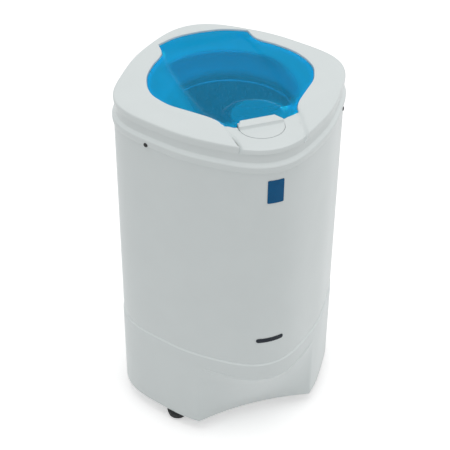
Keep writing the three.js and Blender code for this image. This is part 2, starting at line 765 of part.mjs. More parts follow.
function makeTopRing() {
  const lip = columnShell([
    [RING_INSET, COVE_TOP],
    [RING_INSET, RING_TOP - 1.2],
    [RING_INSET + 1.2, RING_TOP],
    [RING_INSET + LIP_WALL + 4, RING_TOP],
    [RING_INSET + LIP_WALL + 4, RING_UNDERSIDE],
    [RING_INSET + LIP_WALL, RING_UNDERSIDE],
    [RING_INSET + LIP_WALL, COVE_TOP],
  ]);
  const plate = loft([
    outlineRing(RING_INSET + LIP_WALL, RING_UNDERSIDE),
    outlineRing(RING_INSET + LIP_WALL, RING_TOP),
  ], false);
  const window = slab(lidOutline(LID_EDGE_GAP), LEDGE_TOP, RING_TOP + 1);
  const throat = slab(grown(lidOutline(0), -LEDGE_WIDTH), LEDGE_UNDERSIDE - 20, LEDGE_TOP + 1);
  const tongue = tongueHalf() + LID_EDGE_GAP;
  const inside = loft([
    outlineRing(COVE_INSET + CASE_WALL + SEAT_GAP, LEDGE_UNDERSIDE - 20),
    outlineRing(COVE_INSET + CASE_WALL + SEAT_GAP, RING_TOP),
  ], false);
  const hingeWell = box([-tongue, HINGE_Y - HINGE_BARREL - 3, LEDGE_UNDERSIDE - 20],
    [tongue, LID_BACK + LID_EDGE_GAP, LEDGE_TOP + 1]).intersect(inside);
  // Room beside the hinge line for the tongue's straight sides when the lid stands open.
  const swingRoom = box([-tongue, HINGE_Y, LEDGE_TOP],
    [tongue, HINGE_Y + LID_TOP - HINGE_Z + LID_EDGE_GAP, RING_TOP + 1]);
  const windowWall = slab(lidOutline(LID_EDGE_GAP + WINDOW_WALL), LEDGE_UNDERSIDE, RING_UNDERSIDE + 1)
    .intersect(inside);
  const bosses = [-1, 1].map((side) => box(
    [Math.min(side * (tongue + 0.5), side * (tongue + 16)), HINGE_Y - 6, HINGE_Z - 6],
    [Math.max(side * (tongue + 0.5), side * (tongue + 16)), HINGE_Y + 6, RING_UNDERSIDE + 1],
  ).intersect(inside));
  const pinHole = rod([-tongue - 12, HINGE_Y, HINGE_Z], [tongue + 12, HINGE_Y, HINGE_Z],
    HINGE_PIN + PIN_CLEARANCE);
  const shelf = inside.intersect(panelSector(12, SHELF_TOP - 3, SHELF_TOP, 6));
  const cheeks = cut(inside.intersect(panelSector(12, SHELF_TOP - 1, RING_UNDERSIDE + 1, 0)),
    panelSector(SEAT_GAP + PANEL_WALL, SHELF_TOP - 2, RING_TOP));
  const switchPad = box([SWITCH_X - 12, SWITCH_Y - 10, LEDGE_UNDERSIDE], [SWITCH_X + 16, SWITCH_Y + 10,
    LEDGE_TOP]);
  const plungerHole = post(PLUNGER + PIN_CLEARANCE, LEDGE_UNDERSIDE - 1, LEDGE_TOP + 1, SWITCH_X,
    SWITCH_Y, 12);
  const frame = join(lip, plate, windowWall, ...bosses);
  const opened = cut(frame, throat, window, hingeWell, swingRoom,
    panelSector(SEAT_GAP, SHELF_TOP, RING_TOP + 1), slab(leverPlan(LATCH_GAP), SHELF_TOP, RING_TOP));
  part('top_ring', cut(join(opened, shelf, cheeks, switchPad), window, plungerHole, pinHole), whitePlastic);
}

// ---------------------------------------------------------------- latch

function makeLatchPanel() {
  const outside = loft([
    outlineRing(RING_INSET, COVE_TOP),
    outlineRing(RING_INSET, PANEL_TOP - PANEL_EDGE * 0.6),
    outlineRing(RING_INSET + PANEL_EDGE * 0.12, PANEL_TOP - PANEL_EDGE * 0.32),
    outlineRing(RING_INSET + PANEL_EDGE * 0.4, PANEL_TOP - PANEL_EDGE * 0.1),
    outlineRing(RING_INSET + PANEL_EDGE, PANEL_TOP),
  ], false);
  const inside = loft([
    outlineRing(RING_INSET + PANEL_WALL, COVE_TOP - 1),
    outlineRing(RING_INSET + PANEL_WALL, PANEL_TOP - PANEL_EDGE * 0.6),
    outlineRing(RING_INSET + PANEL_EDGE, PANEL_TOP - PANEL_WALL),
  ], false);
  const body = cut(outside, inside).intersect(panelSector(0, SHELF_TOP, RING_TOP));
  const pocket = slab(leverPlan(LATCH_GAP), SHELF_TOP - 1, RING_TOP);
  const lid = slab(lidOutline(LID_EDGE_GAP), LEDGE_UNDERSIDE, RING_TOP);
  const cheek = (side) => {
    const near = side * (LEVER_HALF + LATCH_GAP);
    const far = near + side * 5;
    return box([Math.min(near, far), LEVER_PIVOT_Y - 6, SHELF_TOP + SEAT_GAP],
      [Math.max(near, far), LEVER_PIVOT_Y + 6, PANEL_TOP - 1]);
  };
  const pinHole = rod([-LEVER_HALF - 5, LEVER_PIVOT_Y, LEVER_PIVOT_Z],
    [LEVER_HALF + 5, LEVER_PIVOT_Y, LEVER_PIVOT_Z], LATCH_PIN + PIN_CLEARANCE);
  part('latch_panel', cut(join(body, cheek(-1), cheek(1)), pocket, lid, pinHole), whitePlastic);
}

function makeLatchLever() {
  const plate = slab(leverPlan(0), PANEL_TOP - LEVER_PLATE, PANEL_TOP)
    .intersect(box([-LEVER_HALF, LEVER_PLATE_END - 1, PANEL_TOP - 20],
      [LEVER_HALF, LEVER_BACK_Y - 1, PANEL_TOP + 1]));
  const low = PANEL_TOP - LEVER_PLATE;
  const high = PANEL_TOP + LEVER_RIDGE_RISE;
  const front = LEVER_BACK_Y - LEVER_RIDGE_DEPTH;
  const hollow = new THREE.QuadraticBezierCurve(
    new THREE.Vector2(front - 4, PANEL_TOP), new THREE.Vector2(front + 4, PANEL_TOP + 0.5),
    new THREE.Vector2(front + 1, high - 1));
  const outline = [
    [LEVER_BACK_Y, low], [LEVER_BACK_Y, high - 1.5], [LEVER_BACK_Y - 1.5, high],
    ...hollow.getPoints(5).reverse().map(({ x, y }) => [x, y]), [front - 4, low],
  ];
  const ridge = alongX(outline, -LEVER_HALF, LEVER_HALF);
  const barrel = rod([-LEVER_HALF + 2, LEVER_PIVOT_Y, LEVER_PIVOT_Z],
    [LEVER_HALF - 2, LEVER_PIVOT_Y, LEVER_PIVOT_Z], LEVER_BARREL);
  const web = box([-LEVER_HALF + 4, LEVER_PIVOT_Y - 2, LEVER_PIVOT_Z], [LEVER_HALF - 4,
    LEVER_PIVOT_Y + 2, low + 0.5]);
  const bore = rod([-LEVER_HALF - 1, LEVER_PIVOT_Y, LEVER_PIVOT_Z],
    [LEVER_HALF + 1, LEVER_PIVOT_Y, LEVER_PIVOT_Z], LATCH_PIN + PIN_CLEARANCE);
  part('latch_lever', cut(join(plate, ridge, barrel, web), bore), whitePlastic);
}

// Outline of [y, z] points extruded along X.
function alongX(outline, low, high) {
  const shape = new THREE.Shape(outline.map(([y, z]) => new THREE.Vector2(y, z)));
  const geometry = new THREE.ExtrudeGeometry(shape, { depth: high - low, bevelEnabled: false });
  geometry.applyMatrix4(new THREE.Matrix4().makeBasis(
    new THREE.Vector3(0, 1, 0), new THREE.Vector3(0, 0, 1), new THREE.Vector3(1, 0, 0)));
  geometry.translate(low, 0, 0);
  return solidOf(geometry);
}

function makeLatchPin() {
  part('latch_pin', rod([-LEVER_HALF - 4.5, LEVER_PIVOT_Y, LEVER_PIVOT_Z],
    [LEVER_HALF + 4.5, LEVER_PIVOT_Y, LEVER_PIVOT_Z], LATCH_PIN), steel);
}

function makeLatchSpring() {
  const y = (LEVER_PIVOT_Y + LEVER_PLATE_END) / 2 - 2;
  part('latch_spring', spring(4.5, 0.8, SHELF_TOP + SEAT_GAP, PANEL_TOP - LEVER_PLATE - SEAT_GAP, 3, 0, y),
    steel);
}

// ---------------------------------------------------------------- lid switch

function makeLidSwitch() {
  const top = LEDGE_UNDERSIDE - SEAT_GAP;
  const body = box([SWITCH_X - 8, SWITCH_Y - 8, top - SWITCH_HEIGHT], [SWITCH_X + 12, SWITCH_Y + 8, top]);
  const well = post(PLUNGER + PIN_CLEARANCE, top - 10, top + 1, SWITCH_X, SWITCH_Y, 12);
  const tab = box([SWITCH_X + 11, SWITCH_Y - 3, top - 16], [SWITCH_X + 16, SWITCH_Y + 3, top - 14]);
  part('lid_switch', join(cut(body, well), tab), blackPlastic);
  part('switch_plunger', post(PLUNGER, top - 10 + SEAT_GAP, LEDGE_TOP, SWITCH_X, SWITCH_Y, 12),
    whitePlastic);
}

// ---------------------------------------------------------------- funnel, tub, drain

function makeFunnel() {
  const rise = FUNNEL_FLANGE;
  const floor = FUNNEL_FLOOR;
  const lip = FUNNEL_BOTTOM;
  const wall = FUNNEL_WALL;
  const skirt = TUB_RADIUS + SEAT_GAP;
  const flangeInset = CASE_WALL + 1;
  const dishInset = 2 * CASE_WALL + 3 * SEAT_GAP;
  const [cableX, cableY] = besideTub(CABLE_ANGLE);
  const shell = loft([
    roundRing(FUNNEL_MOUTH, lip),
    roundRing(FUNNEL_MOUTH + wall, lip),
    roundRing(FUNNEL_MOUTH + wall + 1, lip + 6),
    roundRing(skirt, floor - wall - 4),
    roundRing(skirt, TUB_TOP - 8),
    roundRing(skirt + wall, TUB_TOP - 8),
    roundRing(skirt + wall, floor - wall - 3),
    outlineRing(dishInset, floor - wall),
    outlineRing(dishInset, rise),
    outlineRing(flangeInset, rise),
    outlineRing(flangeInset, rise + wall),
    outlineRing(dishInset + wall, rise + wall),
    outlineRing(dishInset + wall, floor),
    roundRing(skirt + wall, floor - 3),
    roundRing(FUNNEL_MOUTH + 1, lip + 8),
  ]);
  const cableHole = post(CABLE_THICKNESS, floor - 12, floor + 4, cableX, cableY, 10);
  part('tub_funnel', cut(shell, cableHole), whitePlastic);
}

function makeTub() {
  const r = TUB_RADIUS;
  const wall = TUB_WALL;
  const body = turned([
    [r, DECK_TOP + SEAT_GAP], [r, TUB_TOP], [r - wall, TUB_TOP],
    [r - wall, TUB_FLOOR + wall], [TUB_THROAT, TUB_FLOOR + wall], [TUB_THROAT, TUB_FLOOR],
    [r - wall, TUB_FLOOR], [r - wall, DECK_TOP + SEAT_GAP],
  ], 40);
  const windows = [90, 210, 330].map((degrees) => skirtWindow(degrees));
  const outlet = post(DRAIN_RADIUS, TUB_FLOOR - 12, TUB_FLOOR + 1, 0, DRAIN_Y, 18);
  const outletBore = post(DRAIN_RADIUS - DRAIN_WALL, TUB_FLOOR - 13, TUB_FLOOR + wall + 1, 0, DRAIN_Y, 18);
  part('outer_tub', cut(join(body, outlet), ...windows, outletBore), whitePlastic);
}

// Wedge that opens the tub's supporting skirt for air, drain and brake cable.
function skirtWindow(degrees) {
  const [first, second] = [-1, 1].map((side) => radians(degrees + side * WINDOW_HALF_ANGLE));
  const reach = TUB_RADIUS * 1.3;
  return slab([
    [60 * Math.cos(first), 60 * Math.sin(first)], [reach * Math.cos(first), reach * Math.sin(first)],
    [reach * Math.cos(second), reach * Math.sin(second)], [60 * Math.cos(second), 60 * Math.sin(second)],
  ], DECK_TOP + 24, TUB_FLOOR - 14);
}

function makeDrain() {
  const sleeve = DRAIN_RADIUS + SEAT_GAP;
  const outer = sleeve + DRAIN_WALL;
  const top = TUB_FLOOR - SEAT_GAP;
  const elbow = DRAIN_AXIS;
  const down = cut(post(outer, elbow, top, 0, DRAIN_Y, 18),
    post(sleeve, top - 14, top + 1, 0, DRAIN_Y, 18));
  const across = rod([0, DRAIN_Y - outer, elbow], [0, DRAIN_Y + 44, elbow], outer, 18);
  const bore = join(post(DRAIN_RADIUS - DRAIN_WALL, elbow, top + 1, 0, DRAIN_Y, 18),
    rod([0, DRAIN_Y, elbow], [0, DRAIN_Y + 60, elbow], DRAIN_RADIUS - DRAIN_WALL, 18));
  const seat = rod([0, DRAIN_Y + 30, elbow], [0, DRAIN_Y + 60, elbow], sleeve, 18);
  part('drain_elbow', cut(join(down, across), bore, seat), blackRubber);
  const back = HALF_DEPTH - 0.8;
  const tube = rod([0, DRAIN_Y + 30 + SEAT_GAP, elbow], [0, back, elbow], DRAIN_RADIUS, 18);
  const inner = backAt(DRAIN_FLANGE) - CASE_WALL - FACET_ROOM;
  const flange = rod([0, inner - 2.5, elbow], [0, inner, elbow], DRAIN_FLANGE, 18);
  const passage = rod([0, DRAIN_Y, elbow], [0, back + 5, elbow], DRAIN_RADIUS - DRAIN_WALL, 18);
  part('drain_spout', cut(join(tube, flange), passage), blackPlastic);
}

// ---------------------------------------------------------------- basket, hub and spin shaft

function makeBasket() {
  const r = BASKET_RADIUS;
  const wall = BASKET_WALL;
  const shell = turned([
    [HUB_BORE, BASKET_FLOOR], [r - 6, BASKET_FLOOR], [r, BASKET_FLOOR + 6],
    [r, BASKET_TOP - 10], [r - 4, BASKET_TOP - 3], [BASKET_MOUTH + 2, BASKET_TOP],
    [BASKET_MOUTH, BASKET_TOP - 2], [BASKET_MOUTH + 2, BASKET_TOP - 4],
    [r - 5 - wall, BASKET_TOP - 6], [r - wall, BASKET_TOP - 12],
    [r - wall, BASKET_FLOOR + 6], [r - 6 - wall, BASKET_FLOOR + wall],
    [HUB_BORE, BASKET_FLOOR + wall],
  ], 30);
  const pitch = (BASKET_TOP - BASKET_FLOOR - 60) / (HOLE_ROWS - 1);
  const holes = [];
  for (let row = 0; row < HOLE_ROWS; row += 1) {
    const z = BASKET_FLOOR + 30 + row * pitch;
    for (let k = 0; k < HOLES_AROUND; k += 1) {
      const angle = (2 * Math.PI * (k + 0.5 * (row % 2))) / HOLES_AROUND;
      holes.push(rod(atAngle(angle, r - 8, z), atAngle(angle, r + 8, z), BASKET_HOLE, 4));
    }
  }
  part('basket', cut(shell, ...holes), stainless);
}

function makeHub() {
  const top = BASKET_FLOOR - SEAT_GAP;
  const disc = turned([
    [SHAFT_RADIUS + SEAT_GAP, top - HUB_HEIGHT], [HUB_RADIUS * 0.5, top - HUB_HEIGHT],
    [HUB_RADIUS, top - 3], [HUB_RADIUS, top], [SHAFT_RADIUS + SEAT_GAP, top],
  ], 30);
  part('basket_hub', disc, castAluminium);
  const nutLow = BASKET_FLOOR + BASKET_WALL + SEAT_GAP;
  const nut = cut(post(12, nutLow, nutLow + 8, 0, 0, 6), post(SHAFT_RADIUS + SEAT_GAP, nutLow - 1,
    nutLow + 9, 0, 0, 18));
  part('hub_nut', nut, stainless);
  const shaftFoot = BRAKE_FOOT + BRAKE_HEIGHT / 2 + SEAT_GAP;
  part('spin_shaft', post(SHAFT_RADIUS, shaftFoot, SHAFT_TOP, 0, 0, 18), steel);
}

function makeSeal() {
  const low = TUB_FLOOR + TUB_WALL + SEAT_GAP;
  const throat = TUB_THROAT;
  const bush = BUSH_RADIUS + SEAT_GAP;
  const bellows = turned([
    [throat + 8, low], [throat + 8, low + 2.5], [throat - 4, low + 2.5], [throat - 8, low + 12],
    [throat - 13, low + 4], [bush + 3, low + 12], [bush, low + 12], [bush, low - 4],
    [throat - 13, low], [throat - 8, low + 8], [throat - 6, low],
  ], 24);
  part('tub_seal', bellows, blackRubber);
  const bushLow = low - 8;
  const sleeve = cut(post(BUSH_RADIUS, bushLow, bushLow + BUSH_HEIGHT, 0, 0, 20),
    post(SHAFT_RADIUS + SEAT_GAP, bushLow - 1, bushLow + BUSH_HEIGHT + 1, 0, 0, 18));
  part('shaft_bush', sleeve, castAluminium);
}

// ---------------------------------------------------------------- motor and brake

function ringBlock(outer, inner, low, high, sides = 24) {
  return turned([[inner, low], [outer, low], [outer, high], [inner, high]], sides);
}

function makeMotor() {
  const seat = MOTOR_FOOT + END_BELL;
  const crown = MOTOR_TOP - END_BELL;
  part('motor_housing', ringBlock(MOTOR_RADIUS, MOTOR_RADIUS - MOTOR_WALL, seat + SEAT_GAP,
    crown - SEAT_GAP), galvanised);
  const bell = (low, high) => ringBlock(MOTOR_RADIUS, BEARING_RADIUS + SEAT_GAP, low, high);
  part('motor_bottom_cover', bell(MOTOR_FOOT, seat), castAluminium);
  const pivot = brakePivot();
  const ear = box([0, pivot[1] - 10, crown], [pivot[0] + 10, pivot[1] + 10, crown + 4]);
  const clear = post(MOTOR_RADIUS - 4, crown - 1, crown + 5);
  const post1 = post(4, crown + 3, BRAKE_FOOT + 2, ...pivot, 14);
  const pin = post(BRAKE_PIN, BRAKE_FOOT + 1, BRAKE_FOOT + 16, ...pivot, 14);
  part('motor_top_cover', join(bell(crown, MOTOR_TOP), cut(ear, clear), post1, pin), castAluminium);
  part('stator', ringBlock(MOTOR_RADIUS - MOTOR_WALL - SEAT_GAP, STATOR_BORE, STACK_FOOT,
    STACK_FOOT + STACK_HEIGHT), darkSteel);
  const coilRadius = MOTOR_RADIUS - WINDING_WALL;
  const coil = (name, low, high) => part(name, ringBlock(coilRadius, STATOR_BORE + 3, low, high), copper);
  coil('winding_lower', STACK_FOOT - WINDING_HEIGHT, STACK_FOOT - SEAT_GAP);
  coil('winding_upper', STACK_FOOT + STACK_HEIGHT + SEAT_GAP,
    STACK_FOOT + STACK_HEIGHT + WINDING_HEIGHT);
  const rotor = join(post(ROTOR_RADIUS, STACK_FOOT, STACK_FOOT + STACK_HEIGHT, 0, 0, 30),
    post(SHAFT_RADIUS, MOTOR_PLATE - FAN_HEIGHT - 8, BRAKE_FOOT + BRAKE_HEIGHT / 2, 0, 0, 18));
  part('rotor', rotor, darkSteel);
  for (const [name, low] of [['lower', MOTOR_FOOT], ['upper', MOTOR_TOP - BEARING_HEIGHT]]) {
    part(`bearing_${name}`, ringBlock(BEARING_RADIUS, SHAFT_RADIUS + SEAT_GAP, low,
      low + BEARING_HEIGHT, 20), steel);
  }
}

function makeFan() {
  const low = MOTOR_PLATE - FAN_HEIGHT - 6;
  const high = low + FAN_HEIGHT;
  const hub = post(14, low, high, 0, 0, 18);
  const disc = post(FAN_RADIUS, high - 2, high, 0, 0, 30);
  const blades = Array.from({ length: 8 }, (_, k) => {
    const blade = new THREE.BoxGeometry(FAN_RADIUS - 12, 2, FAN_HEIGHT - 1);
    blade.translate((FAN_RADIUS - 12) / 2 + 11, 0, (low + high) / 2);
    blade.rotateZ((Math.PI * k) / 4);
    return solidOf(blade);
  });
  part('cooling_fan', cut(join(hub, disc, ...blades), post(SHAFT_RADIUS + SEAT_GAP, low - 1, high + 1,
    0, 0, 18)), blackPlastic);
}

function makeMotorPlate() {
  const arms = springPlaces().map(([x, y]) => {
    const pad = post(SPRING_RADIUS + SPRING_WIRE + 5, MOTOR_PLATE, MOTOR_PLATE + PLATE_THICKNESS, x, y);
    const length = Math.hypot(x, y);
    const arm = new THREE.BoxGeometry(length, 34, PLATE_THICKNESS);
    arm.translate(length / 2, 0, MOTOR_PLATE + PLATE_THICKNESS / 2);
    arm.rotateZ(Math.atan2(y, x));
    return join(pad, solidOf(arm));
  });
  const disc = post(MOTOR_RADIUS + 4, MOTOR_PLATE, MOTOR_PLATE + PLATE_THICKNESS, 0, 0, 30);
  const studHoles = springPlaces().map(([x, y]) => post(STUD_RADIUS + 1.5, MOTOR_PLATE - 1,
    MOTOR_PLATE + PLATE_THICKNESS + 1, x, y, 16));
  const eye = post(24, MOTOR_PLATE - 1, MOTOR_PLATE + PLATE_THICKNESS + 1, 0, 0, 20);
  part('motor_plate', cut(join(disc, ...arms), ...studHoles, eye), galvanised);
}

function makeSuspension() {
  springPlaces().forEach(([x, y], k) => {
    const n = k + 1;
    part(`suspension_spring_${n}`, spring(SPRING_RADIUS, SPRING_WIRE, DECK_TOP + SEAT_GAP,
      MOTOR_PLATE - SEAT_GAP, SPRING_TURNS, x, y), steel);
    const head = post(STUD_RADIUS * 1.9, DECK_UNDERSIDE - SEAT_GAP - 5, DECK_UNDERSIDE - SEAT_GAP, x, y, 6);
    const shank = post(STUD_RADIUS, DECK_UNDERSIDE - 3, MOTOR_PLATE + PLATE_THICKNESS + 12, x, y, 12);
    const washer = post(STUD_RADIUS * 2.2, MOTOR_PLATE + PLATE_THICKNESS + SEAT_GAP,
      MOTOR_PLATE + PLATE_THICKNESS + 3, x, y, 12);
    part(`suspension_stud_${n}`, join(head, shank, washer), steel);
  });
}

// Pivot of the brake lever, beside the brake drum.
function brakePivot() {
  return [MOTOR_RADIUS + 10, 26];
}

function makeBrake() {
  const r = BRAKE_RADIUS;
  const middle = BRAKE_FOOT + BRAKE_HEIGHT / 2;
  const drum = cut(
    join(ringBlock(r, r - 5, BRAKE_FOOT, BRAKE_TOP), post(r - 2, middle - 3, middle + 3, 0, 0, 30),
      post(16, BRAKE_FOOT, BRAKE_TOP, 0, 0, 20)),
    post(SHAFT_RADIUS + SEAT_GAP, BRAKE_FOOT - 1, BRAKE_TOP + 1, 0, 0, 18));
  part('brake_drum', drum, castAluminium);
  const [px, py] = brakePivot();
  const low = BRAKE_FOOT + 3;
  const high = low + BRAKE_LEVER_HEIGHT;
  const near = r + BRAKE_GAP;
  const far = near + BRAKE_SHOE;
  const shoe = ringBlock(far, near, low, high, 48).intersect(
    slab([[0, 0], [far, -far / 2], [far, 12]], low - 1, high + 1));
  const arm = slab([
    [px - 6, py], [px, py + 7], [px + 6, py], [far + 8, -10], [far + 6, -BRAKE_ARM],
    [near + 4, -BRAKE_ARM], [near + 4, -8],
  ], low, high);
  const boss = post(7, low, high, px, py, 18);
  const bore = post(BRAKE_PIN + SEAT_GAP, low - 1, high + 1, px, py, 16);
  part('brake_lever', cut(join(shoe, arm, boss), bore), darkSteel);
  part('brake_spring', spring(4.4, 0.7, high + SEAT_GAP, high + 4.4, 2, px, py), steel);
}

// The brake cable from the lever, out through the tub's skirt and up beside the tub to the switch.
function makeBrakeCable() {
  const leverEnd = [BRAKE_RADIUS + BRAKE_GAP + 9, -BRAKE_ARM - 2, BRAKE_FOOT + 7];
  const beside = (z) => besideTub(CABLE_ANGLE, z);
  const [x, y] = beside(0);
  part('brake_cable', bar([
    leverEnd, [leverEnd[0] + 14, leverEnd[1] - 16, leverEnd[2]], [x - 8, y + 8, BRAKE_TOP],
    beside(BRAKE_TOP + 60), beside(TUB_TOP - 60), beside(FUNNEL_FLOOR + 2),
    [x - 14, y + 4, LEDGE_UNDERSIDE - 14], [SWITCH_X + 17, SWITCH_Y, LEDGE_UNDERSIDE - 12],
  ], CABLE_THICKNESS / 2, 8, 44), blackRubber);
}

// ---------------------------------------------------------------- electrics

function makeElectrics() {
  const [gx, gy] = cordPlace();
  const out = new THREE.Vector2(gx, gy).normalize();
  const surface = Math.hypot(gx, gy);
  const place = (reach) => [out.x * reach, out.y * reach, DRAIN_AXIS];
  const innerFace = surface - CASE_WALL;
  const gland = join(rod(place(innerFace - 6), place(surface - 0.5), CORD_GLAND, 16),
    rod(place(innerFace - 6), place(innerFace - SEAT_GAP - 0.6), CORD_GLAND + 4, 16));
  part('cord_gland', cut(gland, rod(place(innerFace - 10), place(surface + 4), 3.6, 12)), blackPlastic);
  const [canX, canY] = besideTub(CAPACITOR_ANGLE);
  const seat = DECK_TOP + SEAT_GAP;
  const clampRadius = CAPACITOR_RADIUS + SEAT_GAP + CLAMP_WALL;
  part('capacitor', post(CAPACITOR_RADIUS, seat + CLAMP_WALL + SEAT_GAP, seat + CAPACITOR_HEIGHT, canX,
    canY, 20), galvanised);
  part('capacitor_clamp', cut(post(clampRadius, seat, seat + CLAMP_HEIGHT, canX, canY, 20),
    post(CAPACITOR_RADIUS + SEAT_GAP, seat + CLAMP_WALL, seat + CLAMP_HEIGHT + 1, canX, canY, 20)),
  blackPlastic);
  const block = cut(
    box([-TERMINAL_LENGTH / 2, -TERMINAL_WIDTH / 2, seat],
      [TERMINAL_LENGTH / 2, TERMINAL_WIDTH / 2, seat + TERMINAL_HEIGHT]),
    ...[-1, 0, 1].map((k) => post(TERMINAL_LENGTH * 0.075, seat + TERMINAL_HEIGHT / 2,
      seat + TERMINAL_HEIGHT + 1, k * TERMINAL_LENGTH * 0.3, 0, 10)));
  part('terminal_block', block.rotate([0, 0, TERMINAL_ANGLE]).translate(
    besideTub(TERMINAL_ANGLE)), blackPlastic);
}

// ---------------------------------------------------------------- plate and badge

// Thin plate wrapped on the cabinet's front corner.
function wrappedPlate(width, height, centre) {
  const surface = CABINET_INSET - SEAT_GAP;
  const low = centre - height / 2;
  const high = centre + height / 2;
  const shell = columnShell([
    [surface - PLATE_PROUD, low], [surface - PLATE_PROUD, high], [surface, high], [surface, low],
  ]);
  return shell.intersect(box([-width / 2, -HALF_DEPTH - 5, low - 1], [width / 2, 0, high + 1]));
}

function makePlates() {
  part('label_plate', wrappedPlate(LABEL_WIDTH, LABEL_HEIGHT, LABEL_CENTRE), labelBlue);
  part('badge_bar', wrappedPlate(BADGE_WIDTH, BADGE_HEIGHT, BADGE_CENTRE), badgeGrey);
}

// ---------------------------------------------------------------- assembly

makeBase();
makeFeet();
makeCabinet();
makeCollar();
makeScrews();
makeTopRing();
makeLatchPanel();
makeLatchLever();
makeLatchPin();
makeLatchSpring();
makeLid();
makeHingePins();
makeLidSwitch();
makeFunnel();
makeTub();
makeDrain();
makeBasket();
makeHub();
makeSeal();
makeMotor();
makeFan();
makeMotorPlate();
makeSuspension();
makeBrake();
makeBrakeCable();
makeElectrics();
makePlates();

export default machine;
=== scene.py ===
"""Laundry spin dryer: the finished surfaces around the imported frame.

Lengths are millimetres and turn to metres where a mesh, a pattern or the stage is made. +Z is up,
the floor is z = 0 and the latch corner points to -Y. Angles round the column are counted from -Y
towards +X.
"""
import math

import bmesh
import bpy
import numpy as np
from bpy.props import FloatProperty, FloatVectorProperty, IntProperty, PointerProperty
from mathutils import Matrix, Vector


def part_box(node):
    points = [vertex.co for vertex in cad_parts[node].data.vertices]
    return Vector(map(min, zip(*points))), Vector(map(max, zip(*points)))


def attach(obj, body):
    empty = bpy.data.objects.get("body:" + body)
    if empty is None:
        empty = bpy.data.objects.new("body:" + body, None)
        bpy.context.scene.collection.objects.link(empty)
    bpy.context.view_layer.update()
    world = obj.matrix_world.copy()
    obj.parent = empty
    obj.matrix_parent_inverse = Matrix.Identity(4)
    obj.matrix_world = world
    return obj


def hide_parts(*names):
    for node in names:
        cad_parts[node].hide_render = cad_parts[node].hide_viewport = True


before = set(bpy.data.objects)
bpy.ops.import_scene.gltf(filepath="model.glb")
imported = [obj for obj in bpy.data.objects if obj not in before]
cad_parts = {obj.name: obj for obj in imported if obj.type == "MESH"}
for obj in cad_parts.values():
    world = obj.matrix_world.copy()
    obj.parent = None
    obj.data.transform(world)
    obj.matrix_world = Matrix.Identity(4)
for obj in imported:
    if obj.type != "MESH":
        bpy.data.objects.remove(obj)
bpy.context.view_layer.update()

bl_info = {
    "name": "Laundry spin dryer",
    "version": (1, 0, 0),
    "blender": (4, 5, 0),
    "location": "3D View > Sidebar > Spin dryer",
    "description": "Builds the case, lid, latch, tub and basket of a domestic spin dryer",
    "category": "Add Mesh",
}

MM = 0.001


# ---- places read from the frame

def low(node):
    """Lowest corner of a node's box."""
    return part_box(node)[0] / MM


def high(node):
    """Highest corner of a node's box."""
    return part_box(node)[1] / MM


def middle(node):
    """Middle of a node's box."""
    return (low(node) + high(node)) / 2


SEAT_GAP = 0.3
SKIRT_EDGE = low("base").z
SEAM = low("cabinet").z - SEAT_GAP
SPIGOT = 14
COLLAR_FOOT = low("collar").z
COLLAR_TOP = high("collar").z
RING_TOP = high("top_ring").z
RING_PLATE = 4
RING_FOOT = RING_TOP - 14.5
RIM = RING_FOOT - 19.5
RING_INSET = 1.5
LIP_WALL = 3.5
COVE_INSET = 5.5
LID_SINK = 2.8
LID_THICKNESS = 2.8
LID_TOP = RING_TOP - LID_SINK
LID_UNDERSIDE = LID_TOP - LID_THICKNESS
LEDGE_TOP = LID_UNDERSIDE - 1
LEDGE_THICKNESS = 3
LEDGE_WIDTH = 6
WINDOW_WALL = 3
LID_EDGE_GAP = 1
HINGE_Y = middle("hinge_pin_left").y
HINGE_Z = middle("hinge_pin_left").z
PANEL_TOP = high("latch_panel").z
PANEL_BACK = (-61, 73)
PANEL_FRONT = (-59, 51)
PANEL_BACK_Y = -127
PANEL_WALL = 3.5
PANEL_EDGE = 2.2
PANEL_RIM = 6.3
PANEL_FALL = 3.6
PANEL_REACH = 30
PANEL_INSET = RING_INSET + 2.2
VALLEY_DEPTH = 3.2
LEVER_HALF = high("latch_lever").x + 1.2
LEVER_BACK_Y = high("latch_lever").y - 3.5
LEVER_FRONT_Y = low("latch_lever").y - 3.5
LEVER_TOP = high("latch_lever").z - 1.5
LEVER_RIDGE_DEPTH = 21
LATCH_GAP = 0.65
BARREL_HALF = 36
DECK_UNDERSIDE = 46
DECK_TOP = 50
TUB_RADIUS = 152
BASKET_RADIUS = high("basket").x
BASKET_FLOOR = low("basket").z
BASKET_TOP = high("basket").z
BASKET_MOUTH = BASKET_RADIUS - 18
BASKET_WALL = 1.5
FUNNEL_TOP = high("tub_funnel").z
FUNNEL_BOTTOM = low("tub_funnel").z

# The lid's outline, as shares of its half width and of its reach to the back or front: the back of
# its tongue, then its wing down to the pointed corner beside the latch panel.
LID_HALF = 150
LID_BACK = 191
LID_FRONT = 141
LID_OFFSET = 6
TONGUE_BACK = [(0, 1), (0.233, 0.984), (0.4, 0.944), (0.577, 0.875)]
TONGUE_HALF = TONGUE_BACK[-1][0] * LID_HALF
WING = [
    (0.587, 0.757), (0.61, 0.693), (0.673, 0.62), (0.783, 0.522), (0.92, 0.35), (0.99, 0.173),
    (1, 0.016), (0.95, -0.15), (0.867, -0.315), (0.713, -0.5), (0.547, -0.702), (0.475, -0.83),
    (0.455, -0.92),
]
HORN_HALF = LEVER_HALF + 5

# The lid's clearer zone between its two creases, and the half-round swell behind the latch.
LID_CREASE = 84
LID_CREASE_MIDDLE = 12
LID_CREASE_REACH = 116
SWELL_RADIUS = 54
SWELL_Y = -116
CLEAR_CENTRE = (-10, -5)
CLEAR_SWELL = (12, SWELL_Y)
BEYOND_LID = 1000


# ---- sizes and colours

def length(name, description, default):
    """A length for the sidebar, which Blender keeps in metres."""
    return FloatProperty(name=name, description=description, default=default * MM, unit="LENGTH")


